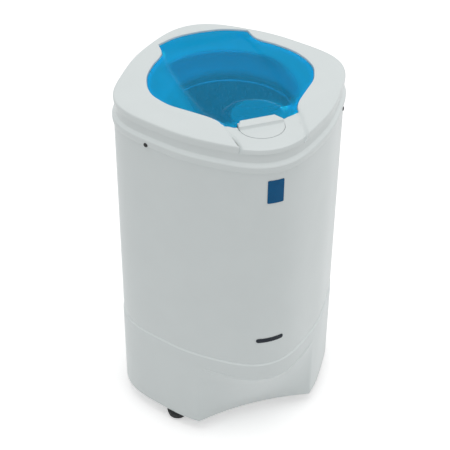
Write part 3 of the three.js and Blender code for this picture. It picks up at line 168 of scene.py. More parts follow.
def colour(name, description, default):
    """A colour for the sidebar, as sRGB shares."""
    return FloatVectorProperty(
        name=name, description=description, default=default, subtype="COLOR_GAMMA")


class DryerSizes(bpy.types.PropertyGroup):
    """Sizes of the case that shape its finished surfaces."""

    half_width: length("Half width", "Reach of the column to its side corners", high("base").x)
    half_depth: length("Half depth", "Reach to its front and back corners", high("base").y)
    corner_rise: length("Corner rise", "How far the four soft corners stand out", 11.7)
    shoulder: length("Shoulder", "How much the sides flatten beside the corners", 2.1)
    case_wall: length("Case wall", "Thickness of the moulded walls", 3)
    scoop_height: length("Scoop height", "Height of the scoop above the skirt's edge", 142)
    ridge_round: length("Ridge round", "Softness of the two ridges beside the scoop", 1.5)
    outline_steps: IntProperty(
        name="Outline steps", description="Columns of faces round the column", default=400, min=80)


class DryerColours(bpy.types.PropertyGroup):
    """Colours of the moulded and rubber parts, as sRGB values."""

    case: colour("Case", "White moulded plastic", (0.867, 0.894, 0.894))
    lid: colour("Lid", "Tinted clear plastic", (0.03, 0.81, 1.0))
    rubber: colour("Rubber", "Feet and seals", (0.055, 0.062, 0.066))
    label: colour("Label", "Plain plate under the collar", (0.04, 0.33, 0.51))
    badge: colour("Badge", "Plain bar low on the cabinet", (0.17, 0.19, 0.22))


def size(name):
    """One of the sizes, in millimetres."""
    return getattr(bpy.context.scene.dryer_sizes, name) / MM


# ---- curves and grids

def smooth(share):
    """Rises from 0 to 1 with level ends: 3 t^2 - 2 t^3."""
    t = np.clip(share, 0, 1)
    return t * t * (3 - 2 * t)


def soft_positive(value, softness):
    """The positive part of a value with a rounded corner: (v + root(v^2 + k^2)) / 2."""
    return (value + np.sqrt(value ** 2 + softness ** 2)) / 2


def filleted(corners, steps=5):
    """Closed profile through corners (a, b, radius). Each corner becomes a quadratic curve that
    starts and ends its radius away from the corner, on the corner's two sides."""
    points = np.array([corner[:2] for corner in corners])
    stretches = []
    for k, (a, b, radius) in enumerate(corners):
        corner = np.array((a, b))
        sides = [points[k - 1] - corner, points[(k + 1) % len(points)] - corner]
        lengths = [np.linalg.norm(side) for side in sides]
        reach = min(radius, 0.45 * min(lengths))
        start, end = (corner + side / length * reach for side, length in zip(sides, lengths))
        t = np.linspace(0, 1, steps + 1 if radius else 1)[:, None]
        stretches.append((1 - t) ** 2 * start + 2 * t * (1 - t) * corner + t ** 2 * end)
    return np.vstack(stretches)


def spline(points, steps):
    """Smooth curve through points: a cubic between each two, whose slope at a point is half the
    way from the point before it to the point after it."""
    p = np.array(points, float)
    before = np.vstack([p[:1], p[:-1]])
    after = np.vstack([p[1:], p[-1:]])
    slope = (after - before) / 2
    t = np.linspace(0, 1, steps, endpoint=False)[None, :, None]
    a, b, da, db = p[:-1, None], p[1:, None], slope[:-1, None], slope[1:, None]
    curve = (2 * a - 2 * b + da + db) * t ** 3 + (3 * b - 3 * a - 2 * da - db) * t ** 2 + da * t + a
    return np.vstack([curve.reshape(-1, p.shape[1]), p[-1:]])


def evenly(points, count, closed=False):
    """The same path with its points at equal distances along it."""
    path = np.vstack([points, points[:1]]) if closed else np.array(points)
    travel = np.append(0, np.cumsum(np.linalg.norm(np.diff(path, axis=0), axis=1)))
    where = np.linspace(0, travel[-1], count, endpoint=not closed)
    return np.stack([np.interp(where, travel, path[:, k]) for k in range(path.shape[1])], axis=1)


def softened(points, reach):
    """Closed path with its corners rounded: each point becomes the average of the points within
    reach of it along the path, with weights that fall off as a raised cosine."""
    step = np.linalg.norm(points[1] - points[0])
    width = max(1, int(round(reach / step)))
    offsets = np.arange(-width, width + 1)
    weights = 1 + np.cos(np.pi * offsets / (width + 1))
    total = sum(weight * np.roll(points, offset, axis=0) for weight, offset in zip(weights, offsets))
    return total / weights.sum()


def outwards(path, closed=True):
    """Unit vectors square to a plan path, to the right of its direction of travel."""
    if closed:
        along = np.roll(path, -1, axis=0) - np.roll(path, 1, axis=0)
    else:
        along = np.gradient(path, axis=0)
    square = np.stack([along[:, 1], -along[:, 0]], axis=1)
    return square / np.linalg.norm(square, axis=1, keepdims=True)


def at_height(plan, z):
    """Plan points (x, y) lifted to a height, which may differ from point to point."""
    return np.concatenate([plan, np.broadcast_to(z, plan.shape[:-1])[..., None]], axis=-1)


def grid(points, round_columns=True, round_rows=False, caps=False):
    """Faces between neighbouring points of a grid of rows by columns. Round grids close on
    themselves, and caps close the first and the last column with one face each."""
    rows, columns = points.shape[:2]
    index = np.arange(rows * columns).reshape(rows, columns)
    ends = [index[::-1, 0].tolist(), index[:, -1].tolist()] if caps else []
    if round_rows:
        index = np.vstack([index, index[:1]])
    if round_columns:
        index = np.hstack([index, index[:, :1]])
    corners = [index[:-1, :-1], index[:-1, 1:], index[1:, 1:], index[1:, :-1]]
    return points.reshape(-1, 3), np.stack(corners, axis=-1).reshape(-1, 4).tolist() + ends


def capped(points):
    """A closed section of rows carried along its columns, with both ends capped."""
    return grid(points, round_columns=False, round_rows=True, caps=True)


# ---- the column's outline

def outline_radius(angle, inset=0.0):
    """Radius of the column's plan: mean + reach cos 2a + rise cos 4a + shoulder cos 8a."""
    width, depth = size("half_width"), size("half_depth")
    rise, shoulder = size("corner_rise"), size("shoulder")
    mean = (depth + width) / 2 - rise - shoulder
    return (mean + (depth - width) / 2 * np.cos(2 * angle) + rise * np.cos(4 * angle)
            + shoulder * np.cos(8 * angle) - inset)


def at_angle(angle, radius):
    """Plan point at an angle and a distance: (r sin a, -r cos a)."""
    return np.stack([radius * np.sin(angle), -radius * np.cos(angle)], axis=-1)


def turns(steps=None):
    """Angles at even steps round one full turn."""
    steps = steps or bpy.context.scene.dryer_sizes.outline_steps
    return np.linspace(0, 2 * math.pi, steps, endpoint=False)


def outline(angle, inset=0.0):
    """Plan points on the column's outline, drawn in by an inset."""
    return at_angle(angle, outline_radius(angle, inset))


def column_shell(profile):
    """Closed wall: a profile of (inset, z) carried round the column's outline."""
    inset, z = np.asarray(profile).T[:, :, None]
    return grid(at_height(outline(turns()[None, :], inset), z), round_rows=True)


def turned(profile, centre=(0.0, 0.0), steps=96):
    """Solid turned about an upright axis from a closed profile of (radius, z)."""
    radius, z = np.asarray(profile).T[:, :, None]
    plan = at_angle(turns(steps)[None, :], radius) + np.asarray(centre)
    return grid(at_height(plan, z), round_rows=True)


def aimed(shape, start, direction):
    """A shape built upright on the origin, moved to a start and tipped into a direction."""
    points, faces = shape
    turn = np.array(Vector(direction).to_track_quat("Z", "Y").to_matrix())
    return points @ turn.T + np.asarray(start), faces


# ---- meshes and pieces

# Points closer than this many metres become one, and edges past this angle stay crisp.
WELD = 2e-6
SHARP = math.radians(35)


def mesh_from(name, shapes):
    """One mesh from (points, faces) shapes, turned to metres: doubles merged, faces pointing
    outwards, sharp edges left crisp and the rest shaded smooth."""
    mesh = bpy.data.meshes.new(name)
    points, faces, start = [], [], 0
    for shape_points, shape_faces in shapes:
        points.append(shape_points)
        faces += [[corner + start for corner in face] for face in shape_faces]
        start += len(shape_points)
    mesh.from_pydata((np.vstack(points) * MM).tolist(), [], faces)
    cleaned(mesh)
    return mesh


def mesh_shape(mesh):
    """A mesh as (points, faces)."""
    points = np.empty(len(mesh.vertices) * 3)
    mesh.vertices.foreach_get("co", points)
    return points.reshape(-1, 3) / MM, [list(face.vertices) for face in mesh.polygons]


def cleaned(mesh):
    """Merges doubles, drops slivers, turns faces outwards and marks sharp edges, in place."""
    work = bmesh.new()
    work.from_mesh(mesh)
    bmesh.ops.remove_doubles(work, verts=work.verts, dist=WELD)
    bmesh.ops.dissolve_degenerate(work, edges=work.edges, dist=WELD / 20)
    bmesh.ops.recalc_face_normals(work, faces=work.faces)
    work.to_mesh(mesh)
    work.free()
    mesh.shade_smooth()
    mesh.set_sharp_from_angle(angle=SHARP)


def opened(mesh, cutters):
    """The mesh with closed cutting shapes taken out of it."""
    body = bpy.data.objects.new("body_being_cut", mesh)
    tool = bpy.data.objects.new("cutting_tool", mesh_from("cutting_tool", cutters))
    for thing in (body, tool):
        bpy.context.scene.collection.objects.link(thing)
    boolean = body.modifiers.new("holes", "BOOLEAN")
    boolean.object = tool
    boolean.operation = "DIFFERENCE"
    boolean.solver = "EXACT"
    bpy.context.view_layer.update()
    result = bpy.data.meshes.new_from_object(body.evaluated_get(bpy.context.evaluated_depsgraph_get()))
    for thing in (body, tool):
        bpy.data.objects.remove(thing)
    if len(result.polygons) < len(mesh.polygons) // 2:
        raise RuntimeError(f"the holes of {mesh.name} couldn't be cut")
    cleaned(result)
    return result


def add_piece(name, shapes, finish, node, body="machine", cutters=()):
    """One finished piece, riding on its body and standing for its CAD node."""
    mesh = mesh_from(name, shapes)
    if cutters:
        mesh = opened(mesh, cutters)
        mesh.name = name
    mesh.materials.clear()
    mesh.materials.append(material_for(finish))
    piece = bpy.data.objects.new(name, mesh)
    bpy.context.scene.collection.objects.link(piece)
    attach(piece, body)
    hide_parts(node)


# ---- materials

# Paler colour painted on two rims as a highlight.
PAINTED_HIGHLIGHT = "#EAF1F1"
# Radii over which painted shade darkens the inner part of the splash cover.
PAINTED_SHADE_RADII = (166, 172)
# Blender's wave pattern repeats every 0.314 of its own units.
WAVE_PITCH = 0.314


def linear(colour):
    """Linear light, with full alpha, of an sRGB hex value or of a named colour of the sidebar."""
    if colour.startswith("#"):
        shares = np.array([int(colour[k:k + 2], 16) / 255 for k in (1, 3, 5)])
    else:
        shares = np.array(getattr(bpy.context.scene.dryer_colours, colour)[:3])
    light = np.where(shares <= 0.04045, shares / 12.92, ((shares + 0.055) / 1.055) ** 2.4)
    return (*light.tolist(), 1.0)


def toned(tone, share):
    """A linear colour times a share, with no channel past 1."""
    return (*(min(1.0, share * channel) for channel in tone[:3]), 1.0)


def add_node(tree, kind, inputs=None, **settings):
    """Adds a node. Names of settings are its properties, or its input sockets with underscores for
    spaces. inputs gives, for an input socket, its value or the output socket that feeds it."""
    node = tree.nodes.new(kind)
    for name, value in settings.items():
        socket = node.inputs.get(name.replace("_", " "))
        if hasattr(node, name):
            setattr(node, name, value)
        elif socket is None:
            raise RuntimeError(f"{kind} has no {name}")
        else:
            socket.default_value = value
    for name, source in (inputs or {}).items():
        if isinstance(source, bpy.types.NodeSocket):
            tree.links.new(source, node.inputs[name])
        else:
            node.inputs[name].default_value = source
    return node


def new_material(name, **settings):
    """A material with one principled shader, and the tree and Object coordinates to pattern it."""
    material = bpy.data.materials.new(name)
    material.use_nodes = True
    tree = material.node_tree
    tree.nodes.clear()
    shader = add_node(tree, "ShaderNodeBsdfPrincipled", **settings)
    add_node(tree, "ShaderNodeOutputMaterial", {"Surface": shader.outputs[0]})
    place = add_node(tree, "ShaderNodeTexCoord").outputs["Object"]
    return material, tree, shader, place


def coloured(tree, shader, share, tones):
    """The shader's colour as a mix of two tones, and the socket that gives it."""
    mix = add_node(tree, "ShaderNodeMix", {"Factor": share, 6: tones[0], 7: tones[1]}, data_type="RGBA")
    tree.links.new(mix.outputs[2], shader.inputs["Base Color"])
    return mix.outputs[2]


def mottled(tree, shader, place, tones, patch, detail=3.0):
    """Colour that wavers between two close tones, in patches about patch across."""
    noise = add_node(tree, "ShaderNodeTexNoise", {"Vector": place}, Scale=1 / (patch * MM), Detail=detail)
    share = add_node(tree, "ShaderNodeMapRange", {"Value": noise.outputs[0]}, From_Min=0.35, From_Max=0.65)
    return coloured(tree, shader, share.outputs[0], tones)


def grained(tree, shader, place, grain, rough, stretch=(1, 1, 1)):
    """Bumps of a grain's size, height and strength, drawn out along an axis, and a roughness that
    follows them between two values."""
    across, height, strength = grain
    spread = add_node(tree, "ShaderNodeMapping", {"Vector": place}, Scale=stretch)
    noise = add_node(tree, "ShaderNodeTexNoise", {"Vector": spread.outputs[0]},
                     Scale=1 / (across * MM), Detail=2.0)
    bump = add_node(tree, "ShaderNodeBump", {"Height": noise.outputs[0]}, Distance=height * MM,
                    Strength=strength)
    skin = add_node(tree, "ShaderNodeMapRange", {"Value": noise.outputs[0]}, From_Min=0.3, From_Max=0.7,
                    To_Min=rough[0], To_Max=rough[1])
    tree.links.new(bump.outputs[0], shader.inputs["Normal"])
    tree.links.new(skin.outputs[0], shader.inputs["Roughness"])


def between(tree, value, start, end, soft):
    """1 where a length lies between two limits and 0 elsewhere, with edges softened over soft."""
    shares = [add_node(tree, "ShaderNodeMapRange", {"Value": value}, interpolation_type="SMOOTHSTEP",
                       From_Min=outside * MM, From_Max=inside * MM).outputs[0]
              for outside, inside in ((start - soft, start), (end + soft, end))]
    return add_node(tree, "ShaderNodeMath", dict(enumerate(shares)), operation="MULTIPLY").outputs[0]


def white_abs():
    """Injection-moulded white ABS. A satin skin with a faint spark-eroded grain, and slow clouding
    of its white by the flow of the melt. Its two sloped rims, at the foot of the cove and over the
    base, get a paler colour: a painted highlight along each rim."""
    material, tree, shader, place = new_material("moulded_white_abs", IOR=1.53, Specular_IOR_Level=0.45)
    white = linear("case")
    clouded = mottled(tree, shader, place, (white, toned(white, 0.985)), patch=60, detail=2.0)
    height = add_node(tree, "ShaderNodeSeparateXYZ", {0: place}).outputs["Z"]
    # Painted highlight: paler bands along the collar's rim and along the base's seam.
    bands = [between(tree, height, RIM - 1.5, RIM + 2, soft=2.5),
             between(tree, height, SEAM - 2.2, SEAM - 0.5, soft=1.4)]
    highlight_share = add_node(tree, "ShaderNodeMath", dict(enumerate(bands)), operation="MAXIMUM")
    coloured(tree, shader, highlight_share.outputs[0], (clouded, linear(PAINTED_HIGHLIGHT)))
    grained(tree, shader, place, grain=(1.1, 0.03, 0.5), rough=(0.34, 0.44))
    return material


def splash_white():
    """White polypropylene of the splash cover. Inside a radius of 166 to 172 mm its colour turns to a
    duller grey: painted shade over the cover's deeper inner part."""
    material, tree, shader, place = new_material("moulded_splash_polypropylene", IOR=1.49)
    level = add_node(tree, "ShaderNodeVectorMath", {0: place, 1: (1, 1, 0)}, operation="MULTIPLY")
    radius = add_node(tree, "ShaderNodeVectorMath", {0: level.outputs[0]}, operation="LENGTH")
    share = add_node(tree, "ShaderNodeMapRange", {"Value": radius.outputs["Value"]},
                     From_Min=PAINTED_SHADE_RADII[0] * MM, From_Max=PAINTED_SHADE_RADII[1] * MM)
    # The grey tone inside the radius is painted shade.
    coloured(tree, shader, share.outputs[0], (linear("#A2A7A5"), linear("#D8DDDC")))
    grained(tree, shader, place, grain=(1.5, 0.04, 0.5), rough=(0.42, 0.55))
    return material


def tinted_lid():
    """Injection-moulded clear blue polycarbonate: gloss, a see-through tint and a milky share that
    glows where light falls on it. The sheet is drawn thinner and clearer between its two creases,
    outside the half-round swell behind the latch."""
    material, tree, shader, place = new_material(
        "moulded_blue_polycarbonate", IOR=1.12, Specular_IOR_Level=0.05)
    across = add_node(tree, "ShaderNodeSeparateXYZ", {0: place}).outputs["X"]
    width = between(tree, across, LID_CREASE_MIDDLE - LID_CREASE, LID_CREASE_MIDDLE + LID_CREASE, soft=34)
    reaches = []
    for x, y in (CLEAR_CENTRE, CLEAR_SWELL):
        centre = (x * MM, y * MM, LID_TOP * MM)
        away = add_node(tree, "ShaderNodeVectorMath", {0: place, 1: centre}, operation="SUBTRACT")
        reach = add_node(tree, "ShaderNodeVectorMath", {0: away.outputs[0]}, operation="LENGTH")
        reaches.append(reach.outputs["Value"])
    depth = between(tree, reaches[0], -BEYOND_LID, LID_CREASE_REACH, soft=22)
    outside_swell = between(tree, reaches[1], SWELL_RADIUS, BEYOND_LID, soft=5)
    beyond = add_node(tree, "ShaderNodeMapRange", {"Value": outside_swell}, To_Min=0.45)
    flat = add_node(tree, "ShaderNodeMath", {0: width, 1: depth}, operation="MULTIPLY")
    thin = add_node(tree, "ShaderNodeMath", {0: flat.outputs[0], 1: beyond.outputs[0]}, operation="MULTIPLY")
    clear = add_node(tree, "ShaderNodeMapRange", {"Value": thin.outputs[0]}, To_Min=0.63, To_Max=0.84)
    tree.links.new(clear.outputs[0], shader.inputs["Transmission Weight"])
    blue = linear("lid")
    mottled(tree, shader, place, (blue, toned(blue, 0.97)), patch=70, detail=1.0)
    grained(tree, shader, place, grain=(25, 0.05, 0.4), rough=(0.04, 0.09))
    return material


def galvanised_sheet():
    """Hot-dip galvanised sheet: flat crystals a few millimetres across, each of its own grey."""
    material, tree, shader, place = new_material("galvanised_sheet", Metallic=1.0)
    crystals = add_node(tree, "ShaderNodeTexVoronoi", {"Vector": place}, Scale=1 / (6 * MM))
    share = crystals.outputs["Distance"]
    coloured(tree, shader, share, (linear("#9A9FA2"), linear("#84898C")))
    skin = add_node(tree, "ShaderNodeMapRange", {"Value": share}, To_Min=0.34, To_Max=0.52)
    tree.links.new(skin.outputs[0], shader.inputs["Roughness"])
    return material


def plain(name, tones, patch, grain, rough, stretch=(1, 1, 1), **settings):
    """A material of two close tones in patches, under one grain of a size, a height and a
    strength. Tones are linear, hex values or names."""
    material, tree, shader, place = new_material(name, **settings)
    tones = [linear(tone) if isinstance(tone, str) else tone for tone in tones]
    mottled(tree, shader, place, tones, patch)
    grained(tree, shader, place, grain, rough, stretch)
    return material


def banded(name, tones, spacing, height, skin, **wave):
    """A material whose two tones and bumps of a height follow bands about spacing apart."""
    material, tree, shader, place = new_material(name, **skin)
    waves = add_node(tree, "ShaderNodeTexWave", {"Vector": place}, Scale=WAVE_PITCH / (spacing * MM),
                     **wave)
    coloured(tree, shader, waves.outputs[1], [linear(tone) for tone in tones])
    bump = add_node(tree, "ShaderNodeBump", {"Height": waves.outputs[1]}, Distance=height * MM)
    tree.links.new(bump.outputs[0], shader.inputs["Normal"])
    return material


def inner_white():
    """Unpainted white polypropylene of the tub: duller and a little creamy."""
    return plain("moulded_white_polypropylene", ("#D8DDDC", "#CDD3D2"), patch=40,
                 grain=(1.5, 0.04, 0.5), rough=(0.42, 0.55), IOR=1.49)


def black_rubber():
    """Moulded nitrile rubber: matt black with a dusty bloom and a fine pitted skin."""
    return plain("moulded_black_rubber", ("rubber", "#1C2022"), patch=6,
                 grain=(0.9, 0.08, 0.6), rough=(0.7, 0.85), IOR=1.52)


def black_plastic():
    """Moulded black polyamide with a light texture."""
    return plain("moulded_black_polyamide", ("#17191B", "#1F2224"), patch=10,
                 grain=(0.8, 0.04, 0.5), rough=(0.42, 0.58), IOR=1.53)


def turned_steel():
    """Zinc-plated mild steel: a cool grey with faint turning lines along its length."""
    return plain("zinc_plated_steel", ("#A4A8AB", "#8E9396"), patch=8,
                 grain=(0.7, 0.02, 0.5), rough=(0.28, 0.42), stretch=(1, 1, 4), Metallic=1.0)


def drawn_stainless():
    """Deep-drawn stainless steel of the basket: bright, with the drawing lines up its wall."""
    return plain("drawn_stainless_steel", ("#C3C6C8", "#B2B6B8"), patch=30,
                 grain=(1.2, 0.02, 0.5), rough=(0.26, 0.4), stretch=(1, 1, 0.08), Metallic=1.0)


def cast_aluminium():
    """Pressure-cast aluminium: pale grey, dull, with the mottled skin that the die leaves."""
    return plain("die_cast_aluminium", ("#A0A4A7", "#8B9093"), patch=7,
                 grain=(1.6, 0.12, 0.6), rough=(0.45, 0.62), Metallic=1.0)


def laminated_steel():
    """Stacked electrical steel sheets: dark grey with one fine line for each few sheets, drawn two
    millimetres apart so that they show."""
    return banded("stacked_electrical_steel", ("#4A4D50", "#5C6063"), spacing=2, height=0.1,
                  skin={"Metallic": 1.0, "Roughness": 0.45}, bands_direction="Z", Distortion=0.3)


def wound_copper():
    """Enamelled copper wire, wound in turns that show as bands about a millimetre apart."""
    return banded("enamelled_copper_wire", ("#7A3E1C", "#B4652F"), spacing=1.2, height=0.25,
                  skin={"Metallic": 0.9, "Roughness": 0.36}, wave_type="RINGS", rings_direction="Z",
                  Distortion=0.6)


def printed_film(name, colour, rough):
    """Printed polycarbonate film on a thin plate: an even colour under a satin face."""
    tone = linear(colour)
    return plain(name, (tone, toned(tone, 1.12)), patch=12, grain=(0.6, 0.01, 0.4),
                 rough=(rough, rough + 0.1), IOR=1.5, Specular_IOR_Level=0.12)


MAKERS = {
    "white_plastic": white_abs,
    "inner_white": inner_white,
    "splash_white": splash_white,
    "blue_clear": tinted_lid,
    "black_rubber": black_rubber,
    "black_plastic": black_plastic,
    "steel": turned_steel,
    "stainless": drawn_stainless,
    "lamination": laminated_steel,
    "cast_aluminium": cast_aluminium,
    "galvanised": galvanised_sheet,
    "copper": wound_copper,
    "label_blue": lambda: printed_film("printed_blue_film", "label", 0.3),
    "badge_grey": lambda: printed_film("printed_grey_film", "badge", 0.34),
}
MADE = {}


def material_for(finish):
    """The material of a finish, made once."""
    if finish not in MADE:
        MADE[finish] = MAKERS[finish]()
    return MADE[finish]


# ---- base

RIDGE_ANGLE = math.radians(36)
SCOOP_LIFT = 6
SCOOP_HOLLOW = 14
SCOOP_EDGE_ROUND = 0.006
SCOOP_BEAD = 2.6
FAN_HOLE = 40
DRAIN_HOLE = 11.3
GLAND_HOLE = 6.3
BOSS_RADIUS = 8.5
# Heights of the wall's rows as shares of the scoop's height, closest together at its top edge.
LEVELS = np.concatenate([
    np.linspace(0.006, 0.8, 20), np.linspace(0.82, 0.97, 8), np.linspace(0.975, 1.01, 15),
    np.linspace(1.03, 1.1, 4),
])


def signed(angle):
    """The same angle between minus and plus half a turn."""
    return (angle + math.pi) % (2 * math.pi) - math.pi


def scoop_depth(angle):
    """How far back the scoop draws the skirt's edge. Between the two ridges the edge follows a
    shallow bow, and the ridges are rounded by a soft positive part."""
    ridge_x, ridge_y = outline(np.array(RIDGE_ANGLE))
    plan = outline(angle)
    bow = ridge_y + SCOOP_HOLLOW * (1 - (plan[..., 0] / ridge_x) ** 2)
    depth = soft_positive(bow - plan[..., 1], size("ridge_round"))
    return depth * smooth((math.radians(58) - np.abs(signed(angle))) / math.radians(20))


def skirt(angle, level):
    """Points of the base's outer wall. level is 0 at the skirt's edge and 1 at the scoop's top
    edge, and the scoop is a ruled face between the two."""
    aside = np.minimum(np.abs(signed(angle)) / RIDGE_ANGLE, 1)
    z = SKIRT_EDGE + level * (size("scoop_height") + SCOOP_LIFT * aside ** 2)
    back = scoop_depth(angle) * soft_positive(1 - level, SCOOP_EDGE_ROUND)
    below = 1 - level
    middle_part = smooth((1.05 - np.abs(signed(angle)) / RIDGE_ANGLE) / 0.3)
    bead = SCOOP_BEAD * smooth(below / 0.018) * (1 - smooth(below / 0.2)) * middle_part
    x, y = np.moveaxis(outline(angle, -bead), -1, 0)
    x, y, z = np.broadcast_arrays(x, y + back, z)
    return np.stack([x, y, z], axis=-1)


def walled(points):
    """Unit vectors that point out of a round grid of rows by columns."""
    up = np.gradient(points, axis=0)
    across = np.roll(points, -1, axis=1) - np.roll(points, 1, axis=1)
    normal = np.cross(across, up)
    return normal / np.linalg.norm(normal, axis=-1, keepdims=True)


def base_wall():
    """The base's shell: outer wall with its scoop, spigot, and the same wall set inwards."""
    thick = size("case_wall")
    angle = turns()[None, :]
    outer = skirt(angle, LEVELS[:, None])
    normal = walled(outer)
    inner = outer - thick * normal
    edge = [outer[:1] - share * thick * normal[:1] for share in (0.85, 0.5, 0.15)]
    for row in edge:
        row[..., 2] = SKIRT_EDGE
    neck = 1 + thick + SEAT_GAP
    top = SEAM + SPIGOT
    rows = [(0, SEAM - 8), (0, SEAM - 3.6), (0.2, SEAM - 2.9), (2.2, SEAM - 0.4), (2.7, SEAM - 0.1),
            (neck, SEAM - 0.1), (neck, top), (neck + thick, top), (neck + thick, SEAM - 4),
            (thick, SEAM - 10)]
    rings = np.concatenate([at_height(outline(angle, inset), z) for inset, z in rows])
    return grid(np.concatenate([outer, rings, inner[::-1], *edge]), round_rows=True)


def base_deck():
    """Floor of the base, from the fan's air hole out into the middle of the wall."""
    angle = turns()[None, :]
    rows = []
    for share, z in ((0, DECK_UNDERSIDE), (1, DECK_UNDERSIDE), (1, DECK_TOP), (0, DECK_TOP)):
        level = (z - SKIRT_EDGE) / size("scoop_height")
        rim = skirt(angle, np.array([[level]]))[..., :2]
        rim = rim * (1 - 1.5 / np.linalg.norm(rim, axis=-1, keepdims=True))
        hole = at_angle(angle, np.array([[FAN_HOLE]]))
        rows.append(at_height(rim * share + hole * (1 - share), z))
    return grid(np.concatenate(rows), round_rows=True)


def post(radius, bottom, top, centre=(0.0, 0.0), edge=0.0):
    """Upright round bar with softened edges."""
    profile = filleted([(0, bottom, 0), (radius, bottom, edge), (radius, top, edge), (0, top, 0)])
    return turned(profile, centre, steps=48)


def rod(start, end, radius):
    """Round bar between two points."""
    run = Vector(end) - Vector(start)
    return aimed(post(radius, 0, run.length), start, run)


def sleeve(bore, radius, length, soft_bore, soft_rim):
    """Section of a short tube, with its inner and its outer edges rounded."""
    return filleted([(bore, 0, soft_bore), (radius, 0, soft_rim), (radius, length, soft_rim),
                     (bore, length, soft_bore)])


CORNERS = ("front_left", "front_right", "rear_left", "rear_right")
FEET = ["foot_" + corner for corner in CORNERS]
# The foot that shows stands a little further in than its solid.
FOOT_SHIFTS = {"foot_front_right": (-5, 3)}


class DRYER_OT_base(bpy.types.Operator):
    """Base with the scoop between its front ridges, its deck and foot bosses"""

    bl_idname = "dryer.base"
    bl_label = "Base"

    def execute(self, context):
        drain = middle("drain_spout").z
        gland = middle("cord_gland")
        out = Vector((gland.x, gland.y, 0))
        holes = [rod((0, 100, drain), (0, 260, drain), DRAIN_HOLE),
                 rod(gland - out * 0.3, gland + out * 0.2, GLAND_HOLE)]
        bosses = [post(BOSS_RADIUS, SKIRT_EDGE + SEAT_GAP, DECK_UNDERSIDE + 1, middle(foot)[:2], edge=0.6)
                  for foot in FEET]
        wall = opened(mesh_from("base_wall", [base_wall()]), holes)
        add_piece("base_shell", [mesh_shape(wall), base_deck(), *bosses], "white_plastic", "base")
        bpy.data.meshes.remove(wall)
        return {"FINISHED"}


class DRYER_OT_feet(bpy.types.Operator):
    """Four rubber feet with a stepped pad and a stem in the base"""

    bl_idname = "dryer.feet"
    bl_label = "Feet"

    def execute(self, context):
        top = SKIRT_EDGE
        for foot in FEET:
            reach = (high(foot).x - low(foot).x) / 2 + 2.5
            neck = reach - 1.2
            profile = filleted([
                (0, 0, 0), (reach * 0.62, 0, 1.2), (reach * 0.9, 5, 1.5), (reach * 0.92, 11, 0.8),
                (reach, 12.2, 1), (reach, top - 5, 0.6), (neck, top - 4.4, 0.4), (neck, top - 3.2, 0.4),
                (reach, top - 2.6, 0.6), (reach, top - 0.2, 0.5), (5, top - 0.2, 0),
                (5, high(foot).z, 0.6), (0, high(foot).z, 0),
            ])
            centre = np.array(middle(foot)[:2]) + FOOT_SHIFTS.get(foot, (0, 0))
            add_piece(foot + "_rubber", [turned(profile, centre)], "black_rubber", foot)
        return {"FINISHED"}


# ---- cabinet, collar, screws

class DRYER_OT_cabinet(bpy.types.Operator):
    """Cabinet shell between the base and the collar"""

    bl_idname = "dryer.cabinet"
    bl_label = "Cabinet"

    def execute(self, context):
        outer = 1.3
        wall = size("case_wall")
        neck = wall + SEAT_GAP
        top = COLLAR_FOOT - 0.5
        profile = filleted([
            (2.4, SEAM, 0), (2.3, SEAM + 2, 1), (outer, SEAM + 20, 8), (outer, top, 1.2),
            (neck, top, 0.4), (neck, high("cabinet").z, 0.5), (neck + wall, high("cabinet").z, 0.5),
            (neck + wall, top - 8, 2), (outer + wall, top - 14, 2), (outer + wall, SEAM + 0.05, 0.5),
        ])
        add_piece("cabinet_shell", [column_shell(profile)], "white_plastic", "cabinet")
        return {"FINISHED"}


SCREWS = ["collar_screw_" + corner for corner in CORNERS]
SCREW_DROP = 3.5


def screw_shape(screw):
    """Pan-head screw: a low dome whose face is sunk along a cross, on a plain shank. The dome's
    height over the radius r is 2 mm times root(1 - (r / 4.4)^2)."""
    head, shank, length = 4, 1.8, 6
    centre = middle(screw) - Vector((0, 0, SCREW_DROP))
    side = signed(math.atan2(centre.x, -centre.y))
    edge = outline(np.array([side - 1e-3, side + 1e-3]))
    out = outwards(edge, closed=False)[0]
    out = out * math.copysign(1, float(out @ edge[0]))
    reach = Vector((*outline(np.array(side), -1.2).tolist(), centre.z))
    radius = np.linspace(0, head, 26)[:, None]
    angle = turns(64)[None, :]
    plan = at_angle(angle, radius)
    dome = 2.0 * np.sqrt(1 - (radius / 4.4) ** 2)
    slot = [smooth((0.75 - np.abs(plan[..., k])) / 0.35)
            * smooth((2.4 - np.abs(plan[..., 1 - k])) / 0.4) for k in (0, 1)]
    face = at_height(plan, dome + 0.3 - 1.1 * np.maximum(*slot))
    rim = at_height(at_angle(angle, np.array([[head], [shank], [shank], [0]])),
                    np.array([[0.2], [0.2], [-length], [-length]]))
    return aimed(grid(np.concatenate([face, rim])), reach, (*out, 0))


class DRYER_OT_collar(bpy.types.Operator):
    """Collar with its coved wall, and the four screws in its band"""

    bl_idname = "dryer.collar"
    bl_label = "Collar and screws"

    def execute(self, context):
        wall = size("case_wall")
        profile = filleted([
            (-0.5, COLLAR_FOOT, 0.8), (-1.7, COLLAR_FOOT + 5, 3), (-1.7, RIM - 3.8, 0.9),
            (4.5, RIM + 2.4, 1.6), (COVE_INSET, RIM + 11, 4), (COVE_INSET, COLLAR_TOP, 0.5),
            (COVE_INSET + wall, COLLAR_TOP, 0.5), (COVE_INSET + wall, RIM + 6, 2),
            (wall, RIM - 3, 1), (wall, COLLAR_FOOT, 0.5),
        ])
        inset, z = profile.T[:, :, None]
        angle = turns()[None, :]
        plan = outline(angle, inset)
        behind_panel = smooth((68 - np.abs(plan[..., 0])) / 3) * (plan[..., 1] < 0)
        seat = RING_FOOT + 1
        z = np.where(z > seat, z - (z - seat) * behind_panel, z)
        add_piece("collar_shell", [grid(at_height(plan, z), round_rows=True)], "white_plastic", "collar")
        for screw in SCREWS:
            add_piece(screw + "_head", [screw_shape(screw)], "black_plastic", screw)
        return {"FINISHED"}


# ---- lid outline, top ring

